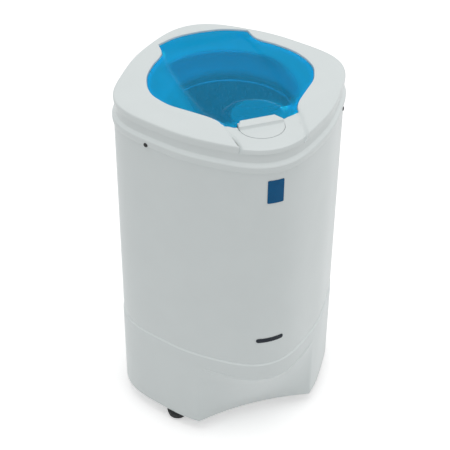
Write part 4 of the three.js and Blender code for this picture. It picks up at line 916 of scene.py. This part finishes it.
def lid_half():
    """The lid's outline from the middle of its back to its horn on the +X side."""
    def place(shares):
        across, along = np.array(shares).T
        return np.stack([across * LID_HALF, along * np.where(along > 0, LID_BACK, LID_FRONT)], axis=1)
    return np.vstack([spline(place(TONGUE_BACK), 12), spline(place(WING), 12), [[HORN_HALF, -LID_FRONT]]])


def set_over(path):
    """The path with its wings, tongue and tips set over to +X, and the part by the lever left in
    the middle."""
    moved = path.copy()
    behind = smooth((path[:, 1] + 110) / 60)
    tips = smooth((np.abs(path[:, 0]) - HORN_HALF) / 18)
    moved[:, 0] += LID_OFFSET * np.maximum(behind, tips)
    return moved


def lid_outline(count=1400):
    """The lid's whole outline at even steps, from the middle of its back round by +X, with its
    corners rounded over two millimetres."""
    right = lid_half()
    left = right[::-1] * (-1, 1)
    return set_over(softened(evenly(np.vstack([right, left[1:-1]]), count, closed=True), 2))


def side_line(y, side, margin=0.0):
    """Distance from the middle to the latch panel's side line at a place along Y, on the side -1
    or 1."""
    left, right = (np.interp(y, (-size("half_depth"), PANEL_BACK_Y), (abs(front), abs(back)))
                   for front, back in zip(PANEL_FRONT, PANEL_BACK))
    return np.where(np.asarray(side) < 0, left, right) + margin


def front_corner(side, margin, inset):
    """Angle at which the panel's side line meets the column's outline, on the side -1 or 1."""
    angle = np.linspace(math.radians(8), math.radians(25), 2000)
    x, y = outline(angle, inset).T
    return float(np.interp(0, x - side_line(y, side, margin), angle))


RING_COLUMNS = 900
PANEL_GAP = 0.06
SHELF_HALF = 74
STEP_WIDTH_LEFT = 1.6
STEP_WIDTH_RIGHT = 10
STEP_ROUND = 1.1


def ring_paths():
    """Matching plan paths round the ring, from one side of the latch panel by the back to the
    other: the lid's outline with the directions out of it, and the column's angles."""
    path = lid_outline()
    beyond = np.abs(path[:, 0]) - side_line(path[:, 1], path[:, 0], PANEL_GAP)
    keep = (path[:, 1] > -60) | (beyond > 0)
    first = int(np.flatnonzero(~keep)[0])
    path = np.roll(path, -first, axis=0)
    normal = outwards(path)
    normal *= math.copysign(1, float(normal[0] @ path[0]))
    keep = np.roll(keep, -first)
    path, normal = path[keep][::-1], normal[keep][::-1]
    # Steps are even in metres and in the turn of the direction together, so that corners get more.
    both = evenly(np.hstack([path * MM, normal]), RING_COLUMNS)
    path, normal = both[:, :2] / MM, both[:, 2:]
    inner = np.unwrap(np.arctan2(path[:, 0], -path[:, 1]))
    decay = math.radians(18)
    turn = math.copysign(1, inner[-1] - inner[0])
    normal /= np.linalg.norm(normal, axis=1, keepdims=True)
    ends = []
    for end in (0, -1):
        lead = abs(signed(inner[end])) - front_corner(path[end, 0], PANEL_GAP, RING_INSET)
        ends.append(lead * np.exp(-np.abs(inner - inner[end]) / decay))
    return path, normal, inner - turn * (ends[0] - ends[1])


def ring_shape():
    """The ring's section carried round from one side of the panel to the other: ledge, window
    wall, top, outer face and underside. On the -X side it ends in a step above the panel, and on
    the +X side its top eases down to the panel's."""
    path, normal, angle = ring_paths()
    well = smooth((path[:, 1] - (HINGE_Y - 9)) / 2)
    ledge = LEDGE_WIDTH * (1 - well) - (LID_EDGE_GAP - 0.2) * well
    under = RING_TOP - RING_PLATE

    def by_lid(margin, z):
        return at_height(path + normal * np.reshape(margin, (-1, 1)), z)

    def by_edge(inset, z):
        return at_height(outline(angle, inset), z)

    gap, wall = LID_EDGE_GAP, LID_EDGE_GAP + WINDOW_WALL
    inner_edge = [by_lid(gap + step, RING_TOP - drop)
                  for step, drop in ((0, 1.1), (0.08, 0.6), (0.35, 0.2), (0.9, 0))]
    outer_edge = [by_edge(RING_INSET + step, RING_TOP - drop)
                  for step, drop in ((4.2, 0), (2.4, 0.25), (1.2, 0.8), (0.4, 1.7), (0.05, 2.9), (0, 4.2),
                                     (0.1, 6), (0.3, 9), (0.7, 12))]
    flat = [inner_edge[-1] * (1 - share) + outer_edge[0] * share for share in (0.2, 0.4, 0.6, 0.8)]
    rows = [
        by_lid(-ledge, LEDGE_TOP - LEDGE_THICKNESS), by_lid(-ledge, LEDGE_TOP - 0.4),
        by_lid(-ledge + 0.4, LEDGE_TOP), by_lid(gap - 0.1, LEDGE_TOP), by_lid(gap, LEDGE_TOP + 0.3),
        *inner_edge, *flat, *outer_edge,
        by_edge(RING_INSET + 1, RING_FOOT + 0.5), by_edge(RING_INSET + 1.5, RING_FOOT),
        by_edge(RING_INSET + LIP_WALL, RING_FOOT), by_edge(RING_INSET + LIP_WALL, under),
        by_lid(wall, under), by_lid(wall, LEDGE_TOP - LEDGE_THICKNESS),
    ]
    points = np.stack(rows)
    for end in (0, -1):
        side = math.copysign(1, float(points[0, end, 0]))
        points[:, end, 0] = side * side_line(points[:, end, 1], side, PANEL_GAP)
    x, y, z = np.moveaxis(points, -1, 0)
    beside = np.abs(x) - side_line(y, x, PANEL_GAP)
    width = np.where(x < 0, STEP_WIDTH_LEFT, STEP_WIDTH_RIGHT)
    near = smooth((PANEL_BACK_Y + 17 - y) / 20) * (1 - smooth(beside / width))
    rounded = z - STEP_ROUND * (z > under + 0.1)
    level = np.minimum(z, PANEL_TOP - 0.1 - front_drop(x, y))
    points[..., 2] = z + near * (np.where(x < 0, rounded, level) - z)
    return capped(points)


def block(corner, opposite, edge=0.8):
    """Box with rounded upright and level edges: a superellipse plan of high power, carried up
    with its ends drawn in."""
    lowest, highest = np.minimum(corner, opposite), np.maximum(corner, opposite)
    centre, half = (lowest + highest) / 2, (highest - lowest) / 2
    angle = turns(64)[None, :]
    plan = at_angle(angle, 1)
    plan = plan / (np.abs(plan) ** 12).sum(axis=-1, keepdims=True) ** (1 / 12)
    tall = half[2]
    rows = [(0, -tall), (1, -tall), (1, edge - tall), (1, tall - edge), (1, tall), (0, tall)]
    rings = [at_height(plan * (half[:2] - edge * (abs(z) == tall)) * share + centre[:2], centre[2] + z)
             for share, z in rows]
    return grid(np.concatenate(rings))


class DRYER_OT_top_ring(bpy.types.Operator):
    """White top ring with the lid's window, its ledge, hinge bosses and the latch shelf"""

    bl_idname = "dryer.top_ring"
    bl_label = "Top ring"

    def execute(self, context):
        under = RING_TOP - RING_PLATE
        shelf_top = RING_TOP - 19
        outer = high("hinge_pin_right").x
        bosses = [block((side * (outer - 3), HINGE_Y - 6, HINGE_Z - 6),
                        (side * (outer + 3), HINGE_Y + 4, under)) for side in (-1, 1)]
        plunger = middle("switch_plunger")
        pad = block((plunger.x - 6, plunger.y - 6, LEDGE_TOP - LEDGE_THICKNESS),
                    (plunger.x + 16, plunger.y + 6, LEDGE_TOP - 0.1))
        pad_hole = rod((*plunger[:2], LEDGE_TOP - 8), (*plunger[:2], LEDGE_TOP + 2), 2.9)
        pad = mesh_shape(opened(mesh_from("switch_pad", [pad]), [pad_hole]))
        across = np.linspace(-1, 1, 60)[None, :]
        half = np.arcsin(SHELF_HALF / size("half_depth"))
        front = outline(across * half, COVE_INSET + size("case_wall") + SEAT_GAP)
        back = np.stack([across * SHELF_HALF, np.full_like(across, PANEL_BACK_Y + 4)], axis=-1)
        shelf = [at_height(plan, z) for plan, z in (
            (front, shelf_top - 3), (back, shelf_top - 3), (back, shelf_top), (front, shelf_top))]
        add_piece("top_ring_shell", [ring_shape(), *bosses, pad, capped(np.concatenate(shelf))],
                  "white_plastic", "top_ring")
        return {"FINISHED"}


# ---- lid

LID_CENTRE = np.array((0.0, 20.0))
NOTCH_HALF = LEVER_HALF + LATCH_GAP
NOTCH_Y = LEVER_BACK_Y + LATCH_GAP
NOTCH_BACK = 0.91
LID_COLUMNS = 560


def lid_relief(x, y):
    """Height of the formed sheet over its flat. The middle lies lower between two soft creases
    that run from front to back, and a half-round swell stands behind the latch."""
    knots_y = np.array((-136, -80, 0, 60, 130, 193))
    knots_x = np.array((52, 77, 86, 89, 84, 74))
    crease = np.interp(y, knots_y, knots_x)
    sunk = smooth((crease - np.abs(x)) / 9 + 0.5) * smooth((176 - y) / 30)
    reach = np.hypot(x, y - SWELL_Y)
    swell = smooth((SWELL_RADIUS - reach) / 4 + 0.5)
    return -2.0 * sunk + 1.4 * swell


def lid_shape():
    """Rings between the lid's outline and its centre. The outermost band follows the notch for
    the lever, and the rings inside it shrink evenly towards the centre."""
    half = lid_half()[::-1]
    outer_keys = np.vstack([[(0, NOTCH_Y)], [(NOTCH_HALF * NOTCH_BACK, NOTCH_Y)],
                            [(NOTCH_HALF * 0.99, NOTCH_Y - 10)], [(NOTCH_HALF, -LID_FRONT)], half])
    within = LID_CENTRE + (half[1:] - LID_CENTRE) * 0.88
    front = -112
    inner_keys = np.vstack([[(0, front)], [(NOTCH_HALF * 0.86, front)], [(NOTCH_HALF * 0.9, front)],
                            [(NOTCH_HALF, front)], [(NOTCH_HALF + 2, front)], within])
    both = np.hstack([outer_keys, inner_keys])
    mirrored = both[::-1][1:-1] * (-1, 1, -1, 1)
    both = softened(evenly(np.vstack([both, mirrored]), LID_COLUMNS, closed=True), 2)
    outer, inner = set_over(both[:, :2]), set_over(both[:, 2:])
    normal = outwards(outer)
    back = LID_COLUMNS // 2
    normal *= math.copysign(1, float(normal[back] @ (outer[back] - LID_CENTRE)))
    bands = [outer * (1 - share) + inner * share for share in (0.03, 0.15, 0.3, 0.5, 0.75)]
    rings = [LID_CENTRE + (inner - LID_CENTRE) * share for share in np.linspace(1, 0, 60)]
    plan = np.stack([*bands, *rings])
    edge = outer - normal * 0.3
    lift, lift_edge = lid_relief(*np.moveaxis(plan, -1, 0)), lid_relief(*edge.T)
    sides = [at_height(way, z + lift_edge) for way, z in (
        (edge, LID_UNDERSIDE + 0.1), (outer, LID_UNDERSIDE + 0.6),
        (outer, LID_TOP - 0.6), (edge, LID_TOP - 0.1))]
    top, bottom = at_height(plan, LID_TOP + lift), at_height(plan, LID_UNDERSIDE + lift)
    return grid(np.concatenate([bottom[::-1], np.stack(sides), top]))


class DRYER_OT_lid(bpy.types.Operator):
    """Tinted clear lid with its two hinge lugs"""

    bl_idname = "dryer.lid"
    bl_label = "Lid"

    def execute(self, context):
        ring = turned(sleeve(2.3, 4.5, 14, soft_bore=0.3, soft_rim=0.6), steps=48)
        lugs = [aimed(ring, (side * (TONGUE_HALF - 2), HINGE_Y, HINGE_Z), (-side, 0, 0))
                for side in (-1, 1)]
        add_piece("lid_clear", [lid_shape(), *lugs], "blue_clear", "lid", body="lid")
        return {"FINISHED"}


# ---- latch

def panel_paths(count=300):
    """Matching plan paths of the latch panel: round the lever's pocket, and down one side line,
    along the column's front and back up the other side line."""
    half = NOTCH_HALF
    straight = LEVER_BACK_Y - LEVER_RIDGE_DEPTH
    depth = straight - LEVER_FRONT_Y + LATCH_GAP
    angle = np.linspace(math.pi, 2 * math.pi, 60)
    arc = np.stack([half * np.cos(angle), straight + depth * np.sin(angle)], axis=1)
    back = -LID_FRONT - LID_EDGE_GAP
    pocket = np.vstack([[(-HORN_HALF, back), (-half, back)], arc, [(half, back), (HORN_HALF, back)]])
    left, right = (front_corner(side, 0, PANEL_INSET) for side in (-1, 1))
    front = outline(np.linspace(-left, right, 60), PANEL_INSET)
    rim = np.vstack([[(PANEL_BACK[0], PANEL_BACK_Y)], front, [(PANEL_BACK[1], PANEL_BACK_Y)]])
    return evenly(pocket, count), evenly(rim, count)


def front_drop(x, y):
    """How far the panel's front lies below its flat top, at a distance f from its front edge: a
    long curve, fall times (1 - f / reach)^2.3, and a steep rim, rim times (1 - f / edge)^1.6."""
    from_front = outline_radius(np.arctan2(x, -y), PANEL_INSET) - np.hypot(x, y)
    slope = np.clip(1 - from_front / PANEL_EDGE, 0, 1) ** 1.6
    return PANEL_RIM * slope + PANEL_FALL * np.clip(1 - from_front / PANEL_REACH, 0, 1) ** 2.3


def panel_drop(x, y):
    """The fall to the front, a small quarter circle along the side lines, and a valley that
    deepens to the front beside the step on the -X side."""
    from_side = side_line(y, x) - np.abs(x)
    side = 1 - np.sqrt(1 - np.clip(1 - from_side / 0.7, 0, 1) ** 2)
    valley = smooth(1 - from_side / 10) * smooth((-138 - y) / 50) * (x < 0)
    return front_drop(x, y) + 0.3 * side + VALLEY_DEPTH * valley


def panel_shape():
    """The panel's section carried round the pocket: pocket wall, top out to the rim, rim wall and
    the underside."""
    pocket, rim = panel_paths()
    share = 1 - (1 - np.linspace(0, 1, 44)[:, None, None]) ** 2.5
    plan = pocket * (1 - share) + rim * share
    lip = 0.4 * (1 - smooth(np.linalg.norm(plan - pocket, axis=-1) / 0.5))
    top = at_height(plan, PANEL_TOP - panel_drop(plan[..., 0], plan[..., 1]) - lip)
    lowest = np.minimum(top[..., 2] - 2, PANEL_TOP - PANEL_WALL)
    under = at_height(plan[::-1], np.maximum(lowest[::-1], RING_FOOT))
    wall = at_height(rim, np.clip(lowest[-1] - 0.1, RING_FOOT, None))[None]
    return capped(np.concatenate([top, wall, under[1:]]))


def lever_shape():
    """Top of the lever as a height over its D-shaped plan. Columns run across, rows from the front
    of the push plate to the back. The ridge's front face is a hollow curve, and its two back
    corners are drawn in."""
    straight = LEVER_BACK_Y - LEVER_RIDGE_DEPTH
    ridge_foot = straight - 4
    across = np.sin(np.linspace(-math.pi / 2, math.pi / 2, 121))[None, :]
    x = across * LEVER_HALF
    front = straight - (straight - LEVER_FRONT_Y) * np.sqrt(np.maximum(0, 1 - across ** 2))
    start = np.maximum(front, ridge_foot)
    rows_plate = front + (start - front) * np.linspace(0, 1, 24, endpoint=False)[:, None]
    rows_ridge = start + (LEVER_BACK_Y - start) * np.linspace(0, 1, 46)[:, None]
    y = np.concatenate([rows_plate, rows_ridge])
    x = x * (1 - (1 - NOTCH_BACK) * smooth((y - LEVER_BACK_Y + 14) / 12))
    rise = np.clip((y - ridge_foot) / 4.2, 0, 1) ** 2.2
    back = smooth((LEVER_BACK_Y - y) / 1.6 + 0.3)
    corner = ((np.abs(x) - 31.5) * 17 + (y - (LEVER_BACK_Y - 2)) * 9) / math.hypot(17, 9)
    ends = 1 - smooth(corner / 3.2 + 0.2)
    crown = 1 - 0.1 * (np.clip(y - straight, 0, None) / LEVER_RIDGE_DEPTH) ** 2
    high_z = PANEL_TOP + (LEVER_TOP - PANEL_TOP) * rise * ends * crown * (0.35 + 0.65 * back)
    dish = 0.5 * np.clip(1 - (x / 30) ** 2 - ((y - straight + 8) / 24) ** 2, 0, 1)
    high_z = high_z - dish * (y < ridge_foot)
    top = np.stack([x, y, high_z], axis=-1)
    bottom = np.stack([x, y, np.full_like(x, PANEL_TOP - 3)], axis=-1)
    return capped(np.concatenate([top, bottom[::-1]]))


class DRYER_OT_latch(bpy.types.Operator):
    """Latch panel at the front corner and the rocking lever in its pocket"""

    bl_idname = "dryer.latch"
    bl_label = "Latch panel and lever"

    def execute(self, context):
        pivot = middle("latch_pin")
        tube = sleeve(1.9, 4, 2 * BARREL_HALF, soft_bore=0, soft_rim=0.5)
        barrel = aimed(turned(tube, steps=40), (-BARREL_HALF, pivot.y, pivot.z), (1, 0, 0))
        web = block((2 - BARREL_HALF, pivot.y - 2, pivot.z + 3),
                    (BARREL_HALF - 2, pivot.y + 2, PANEL_TOP - 2.5), edge=0.3)
        cheeks = [block((side * NOTCH_HALF, pivot.y - 6, RING_TOP - 18.7),
                        (side * (NOTCH_HALF + 5), pivot.y + 6, PANEL_TOP - 1)) for side in (-1, 1)]
        add_piece("latch_panel_shell", [panel_shape(), *cheeks], "white_plastic", "latch_panel")
        add_piece("latch_lever_grip", [lever_shape(), barrel, web], "white_plastic", "latch_lever",
                  body="latch")
        return {"FINISHED"}


# ---- plates on the cabinet

def wrapped_plate(node, corner, thickness=0.6):
    """Thin plate with rounded corners wrapped on the column. Its face is a grid of shares of its
    half width and half height, and corner rounding draws the rows near its ends in."""
    half, _, tall = (high(node) - low(node)) / 2
    up = np.sin(np.linspace(-math.pi / 2, math.pi / 2, 41)) * tall
    near_end = np.clip(np.abs(up) - (tall - corner), 0, corner)
    width = half - corner + np.sqrt(corner ** 2 - near_end ** 2)
    x = np.linspace(-1, 1, 41)[None, :] * width[:, None]
    angle = np.arcsin(np.clip(x / outline_radius(np.arcsin(x / size("half_depth"))), -1, 1))
    z = np.broadcast_to(middle(node).z + up[:, None], x.shape)
    back = outline_radius(angle, 1)
    faces = [np.stack([x, -np.sqrt((back + stand) ** 2 - x ** 2), z], axis=-1) for stand in (0, thickness)]
    return capped(np.concatenate([faces[0], faces[1][::-1]]))


class DRYER_OT_plates(bpy.types.Operator):
    """Plain plate under the collar and plain bar low on the cabinet"""

    bl_idname = "dryer.plates"
    bl_label = "Plate and bar"

    def execute(self, context):
        for node, corner, finish in (("label_plate", 2, "label_blue"), ("badge_bar", 4, "badge_grey")):
            add_piece(node + "_film", [wrapped_plate(node, corner)], finish, node)
        return {"FINISHED"}


# ---- funnel and basket

def funnel_shape():
    """Splash cover: its section blends from the column's outline at the flange to a circle at the
    mouth. Each row has a share of the outline, an inset or radius, and a height."""
    dish, wall = 6.9, 2.5
    top, lip = FUNNEL_TOP, FUNNEL_BOTTOM
    floor = top - 4
    under = floor - wall
    mouth = BASKET_MOUTH + 4
    tub = TUB_RADIUS + SEAT_GAP
    rows = [
        (0, mouth + 0.2, lip), (0, mouth + wall, lip + 0.4), (0, mouth + wall + 1, lip + 6),
        (0, tub, under - 4), (0, tub, under - 14), (0, tub + wall, under - 14), (0, tub + wall, under - 3),
        (1, dish, under), (1, dish, top - wall), (1, 4, top - wall), (1, 4, top),
        (1, dish + wall - 1, top), (1, dish + wall + 0.5, top - 0.6), (1, dish + wall + 2, floor + 0.5),
        (1, dish + wall + 4, floor), (0, tub + wall + 3, floor - 0.2), (0, tub + 0.5, floor - 1),
        (0, tub - 3, floor - 2.6), (0, mouth + 10, lip + 12.2), (0, mouth + 5, lip + 10.5),
        (0, mouth + 2, lip + 8), (0, mouth + 0.5, lip + 5), (0, mouth, lip + 1.5),
    ]
    angle = turns()
    points = [at_height(outline(angle, reach) if share else at_angle(angle, np.full_like(angle, reach)), z)
              for share, reach, z in rows]
    return grid(np.stack(points), round_rows=True)


class DRYER_OT_funnel(bpy.types.Operator):
    """Splash cover between the top ring and the tub"""

    bl_idname = "dryer.funnel"
    bl_label = "Splash cover"

    def execute(self, context):
        angle = np.array(math.radians(45))
        place = at_angle(angle, (TUB_RADIUS + outline_radius(angle, size("case_wall"))) / 2)
        hole = rod((*place, FUNNEL_TOP - 20), (*place, FUNNEL_TOP + 5), 4)
        add_piece("tub_funnel_shell", [funnel_shape()], "splash_white", "tub_funnel",
                  cutters=[hole])
        return {"FINISHED"}


HOLES_AROUND = 36
HOLE_ROWS = 14
HOLE_RADIUS = 2.6


def pierced_wall(bottom, top):
    """Wall of the basket as a repeated cell: eight points on a square, eight on a round hole in
    its middle, outside and inside. Every other row is shifted by half a cell."""
    eighths = np.arange(8) * math.pi / 4
    ring = np.stack([np.cos(eighths), np.sin(eighths)], axis=1)
    square = ring / np.abs(ring).max(axis=1, keepdims=True)
    row, column = (part.ravel() for part in np.mgrid[:HOLE_ROWS, :HOLES_AROUND])
    half_turn = math.pi / HOLES_AROUND
    half_height = (top - bottom) / HOLE_ROWS / 2
    centre = np.stack([(2 * column + row % 2) * half_turn, bottom + (2 * row + 1) * half_height], axis=1)
    hole = (HOLE_RADIUS / BASKET_RADIUS, HOLE_RADIUS)
    cell = np.concatenate([square * (half_turn, half_height), ring * hole])
    place = centre[:, None, :] + cell[None, :, :]
    sides = [at_height(at_angle(place[..., 0], np.full(place.shape[:2], radius)), place[..., 1])
             for radius in (BASKET_RADIUS, BASKET_RADIUS - BASKET_WALL)]
    points = np.concatenate(sides, axis=1)
    k = np.arange(8)
    following = (k + 1) % 8
    faces = np.concatenate([
        np.stack([k, following, following + 8, k + 8], axis=1),
        np.stack([k + 16, k + 24, following + 24, following + 16], axis=1),
        np.stack([k + 8, following + 8, following + 24, k + 24], axis=1),
    ])
    starts = np.arange(len(points))[:, None, None] * 32
    return points.reshape(-1, 3), (faces[None] + starts).reshape(-1, 4).tolist()


def open_turned(profile):
    """Surface turned about the middle from an open profile of (radius, z), with two columns of
    faces for each hole round the basket."""
    radius, z = np.asarray(profile).T[:, :, None]
    return grid(at_height(at_angle(turns(2 * HOLES_AROUND)[None, :], radius), z))


class DRYER_OT_basket(bpy.types.Operator):
    """Drawn steel basket with its rows of holes and rolled mouth"""

    bl_idname = "dryer.basket"
    bl_label = "Basket"

    def execute(self, context):
        r, wall, mouth = BASKET_RADIUS, BASKET_WALL, BASKET_MOUTH
        bottom, top = BASKET_FLOOR + 12, BASKET_TOP - 14
        curve = np.linspace(0, math.pi / 2, 7)
        shoulder, inner_shoulder = (
            [(radius - 9 * (1 - math.cos(t)), top + rise * math.sin(t)) for t in way]
            for radius, rise, way in ((r, 9, curve), (r - wall, 7.4, curve[::-1])))
        roll = [(mouth + 2 + 2.4 * math.sin(t), BASKET_TOP - 2.4 + 2.4 * math.cos(t))
                for t in np.linspace(0.4, -math.pi, 10)]
        floor_outer = [(r - 8 * (1 - math.sin(t)), BASKET_FLOOR + 8 * (1 - math.cos(t)))
                       for t in curve[::-1]]
        floor_inner = [(radius - wall, z + wall) for radius, z in floor_outer[::-1]]
        beads = [(70, 0), (66, 0), (62, 2.5), (58, 2.5), (54, 0), (30, 0), (26, 0), (8, 0)]
        floor = [(x, BASKET_FLOOR + z) for x, z in beads]
        inner_floor = [(x, z + wall) for x, z in floor[::-1]]
        shapes = [
            pierced_wall(bottom, top),
            open_turned([*shoulder, *roll, *inner_shoulder]),
            open_turned([(r, bottom), *floor_outer, *floor, *inner_floor, *floor_inner,
                         (r - wall, bottom)]),
        ]
        add_piece("basket_drawn", shapes, "stainless", "basket", body="spin")
        return {"FINISHED"}


# ---- fittings at the back

class DRYER_OT_fittings(bpy.types.Operator):
    """Drain spout and cord gland at the back"""

    bl_idname = "dryer.fittings"
    bl_label = "Drain spout and cord gland"

    def execute(self, context):
        back, front = high("drain_spout").y, low("drain_spout").y
        inner_face = outline_radius(np.array(math.pi), size("case_wall")) - 2
        bore, radius, flange = 8.5, 11, 16
        length = back - front
        seat = float(inner_face) - front
        profile = filleted([
            (bore, 0, 0.5), (radius, 0, 0.5), (radius, seat - 2.5, 0), (flange, seat - 2.5, 0.5),
            (flange, seat, 0.5), (radius, seat, 0), (radius, length, 0.8), (bore, length, 0.8),
        ])
        spout = aimed(turned(profile), (0, front, middle("drain_spout").z), (0, 1, 0))
        add_piece("drain_spout_tube", [spout], "black_plastic", "drain_spout")
        gland = middle("cord_gland")
        side = math.atan2(gland.x, -gland.y)
        out = Vector((math.sin(side), -math.cos(side), 0))
        start = out * float(outline_radius(np.array(side), 9))
        start.z = gland.z
        ring = filleted([(3.6, 0, 0.3), (10, 0, 0.6), (10, 5.1, 0.6), (6, 5.1, 0), (6, 8.6, 0.6),
                         (3.6, 8.6, 0.6)])
        bush = aimed(turned(ring, steps=64), start, out)
        add_piece("cord_gland_bush", [bush], "black_plastic", "cord_gland")
        return {"FINISHED"}


# ---- finishes of the inner parts

INNER_FINISHES = {
    "inner_white": ["outer_tub", "switch_plunger"],
    "black_rubber": ["drain_elbow", "tub_seal", "brake_cable"],
    "black_plastic": ["lid_switch", "cooling_fan", "capacitor_clamp", "terminal_block"],
    "steel": ["hinge_pin_left", "hinge_pin_right", "latch_pin", "latch_spring", "spin_shaft",
              "bearing_lower", "bearing_upper", "brake_spring",
              *(f"suspension_{part}_{k}" for part in ("spring", "stud") for k in (1, 2, 3))],
    "stainless": ["hub_nut"],
    "lamination": ["stator", "rotor", "brake_lever"],
    "cast_aluminium": ["basket_hub", "shaft_bush", "motor_bottom_cover", "motor_top_cover", "brake_drum"],
    "galvanised": ["motor_housing", "motor_plate", "capacitor"],
    "copper": ["winding_lower", "winding_upper"],
}


class DRYER_OT_inner_finishes(bpy.types.Operator):
    """Finishes of the drive, tub, springs, brake and electrics"""

    bl_idname = "dryer.inner_finishes"
    bl_label = "Inner finishes"

    def execute(self, context):
        for finish, nodes in INNER_FINISHES.items():
            for node in nodes:
                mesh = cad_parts[node].data
                mesh.materials.clear()
                mesh.materials.append(material_for(finish))
        return {"FINISHED"}


# ---- stage, in metres but for the floor

CAMERA_PLACE = Vector((-0.6380, -1.7374, 1.7514))
CAMERA_TARGET = Vector((0, 0.0042, 0.3711))
CAMERA_ROLL = 0.012
CAMERA_LENS = 97
CAMERA_SHIFT = (-0.0078, -0.0116)
LAMPS = [
    # name, place, watts, width
    ("softbox_above", (0.1, 0.0, 3.2), 25, 2.6),
    ("softbox_right", (2.6, 0.6, 1.5), 4, 1.6),
]
WORLD_LIGHT = 0.6
FLOOR_REACH = 6000
FLOOR_GLOW = 0.45


def seen_ray(tree):
    """1 for rays that come from the camera, from gloss or through clear parts, and 0 for the rest."""
    path = add_node(tree, "ShaderNodeLightPath").outputs
    seen = path["Is Camera Ray"]
    for other in ("Is Glossy Ray", "Is Transmission Ray"):
        seen = add_node(tree, "ShaderNodeMath", {0: seen, 1: path[other]}, operation="MAXIMUM").outputs[0]
    return seen


def pale_floor():
    """Painted board, pale and matt. Seen by the camera, in gloss and through clear parts it glows
    up to plain white, less where the object shades it."""
    material, tree, shader, place = new_material("painted_board", Roughness=0.9)
    mottled(tree, shader, place, (linear("#F2F2F2"), linear("#EFEFEF")), patch=200)
    glow = add_node(tree, "ShaderNodeEmission", Color=(1, 1, 1, 1), Strength=FLOOR_GLOW)
    both = add_node(tree, "ShaderNodeAddShader", {0: shader.outputs[0], 1: glow.outputs[0]})
    mix = add_node(tree, "ShaderNodeMixShader",
                   {0: seen_ray(tree), 1: shader.outputs[0], 2: both.outputs[0]})
    output = next(node for node in tree.nodes if node.bl_idname == "ShaderNodeOutputMaterial")
    tree.links.new(mix.outputs[0], output.inputs["Surface"])
    return material


class DRYER_OT_stage(bpy.types.Operator):
    """Floor, soft light and the camera"""

    bl_idname = "dryer.stage"
    bl_label = "Stage"

    def execute(self, context):
        scene = context.scene
        scene.view_settings.view_transform = "Standard"
        reach = np.linspace(-FLOOR_REACH, FLOOR_REACH, 13)
        board = at_height(np.stack(np.meshgrid(reach, reach), axis=-1), 0)
        floor = bpy.data.objects.new("floor", mesh_from("floor", [grid(board, round_columns=False)]))
        floor.data.materials.append(pale_floor())
        scene.collection.objects.link(floor)
        for name, place, watts, width in LAMPS:
            lamp = bpy.data.lights.new(name, "AREA")
            lamp.energy = watts
            lamp.size = width
            light = bpy.data.objects.new(name, lamp)
            light.location = place
            aim = Vector((0, 0, 0.4)) - Vector(place)
            light.rotation_euler = aim.to_track_quat("-Z", "Y").to_euler()
            scene.collection.objects.link(light)
        self.light_world(scene)
        self.place_camera(scene)
        return {"FINISHED"}

    def light_world(self, scene):
        """Even light all round, which the camera, gloss and clear parts see as white."""
        world = bpy.data.worlds.new("studio")
        world.use_nodes = True
        tree = world.node_tree
        tree.nodes.clear()
        light, white = (add_node(tree, "ShaderNodeBackground", Color=(1, 1, 1, 1), Strength=strength)
                        for strength in (WORLD_LIGHT, 1.0))
        mix = add_node(tree, "ShaderNodeMixShader",
                       {0: seen_ray(tree), 1: light.outputs[0], 2: white.outputs[0]})
        add_node(tree, "ShaderNodeOutputWorld", {"Surface": mix.outputs[0]})
        scene.world = world

    def place_camera(self, scene):
        """Camera that looks from its place to its target, rolled a little, with a shifted lens."""
        data = bpy.data.cameras.new("camera")
        data.lens = CAMERA_LENS
        data.shift_x, data.shift_y = CAMERA_SHIFT
        back = (CAMERA_PLACE - CAMERA_TARGET).normalized()
        right = Vector((0, 0, 1)).cross(back).normalized()
        up = back.cross(right)
        tilted_right = right * math.cos(CAMERA_ROLL) + up * math.sin(CAMERA_ROLL)
        tilted_up = up * math.cos(CAMERA_ROLL) - right * math.sin(CAMERA_ROLL)
        camera = bpy.data.objects.new("camera", data)
        turn = Matrix((tilted_right, tilted_up, back)).transposed()
        camera.matrix_world = Matrix.Translation(CAMERA_PLACE) @ turn.to_4x4()
        scene.collection.objects.link(camera)
        scene.camera = camera


# ---- panel, registration, main

OPERATORS = (
    DRYER_OT_stage, DRYER_OT_base, DRYER_OT_feet, DRYER_OT_cabinet, DRYER_OT_collar, DRYER_OT_top_ring,
    DRYER_OT_lid, DRYER_OT_latch, DRYER_OT_plates, DRYER_OT_funnel, DRYER_OT_basket, DRYER_OT_fittings,
    DRYER_OT_inner_finishes,
)


class DRYER_PT_panel(bpy.types.Panel):
    """Sizes, colours and pieces of the spin dryer"""

    bl_idname = "DRYER_PT_panel"
    bl_label = "Spin dryer"
    bl_space_type = "VIEW_3D"
    bl_region_type = "UI"
    bl_category = "Spin dryer"

    def draw(self, context):
        for group in (context.scene.dryer_sizes, context.scene.dryer_colours):
            box = self.layout.box()
            for name in group.__annotations__:
                box.prop(group, name)
        for operator in OPERATORS:
            self.layout.operator(operator.bl_idname)


CLASSES = (DryerSizes, DryerColours, *OPERATORS, DRYER_PT_panel)


def register():
    for cls in CLASSES:
        bpy.utils.register_class(cls)
    bpy.types.Scene.dryer_sizes = PointerProperty(type=DryerSizes)
    bpy.types.Scene.dryer_colours = PointerProperty(type=DryerColours)


def unregister():
    del bpy.types.Scene.dryer_colours
    del bpy.types.Scene.dryer_sizes
    for cls in reversed(CLASSES):
        bpy.utils.unregister_class(cls)


def main():
    register()
    for operator in OPERATORS:
        group, name = operator.bl_idname.split(".")
        getattr(getattr(bpy.ops, group), name)()


if __name__ == "__main__":
    main()
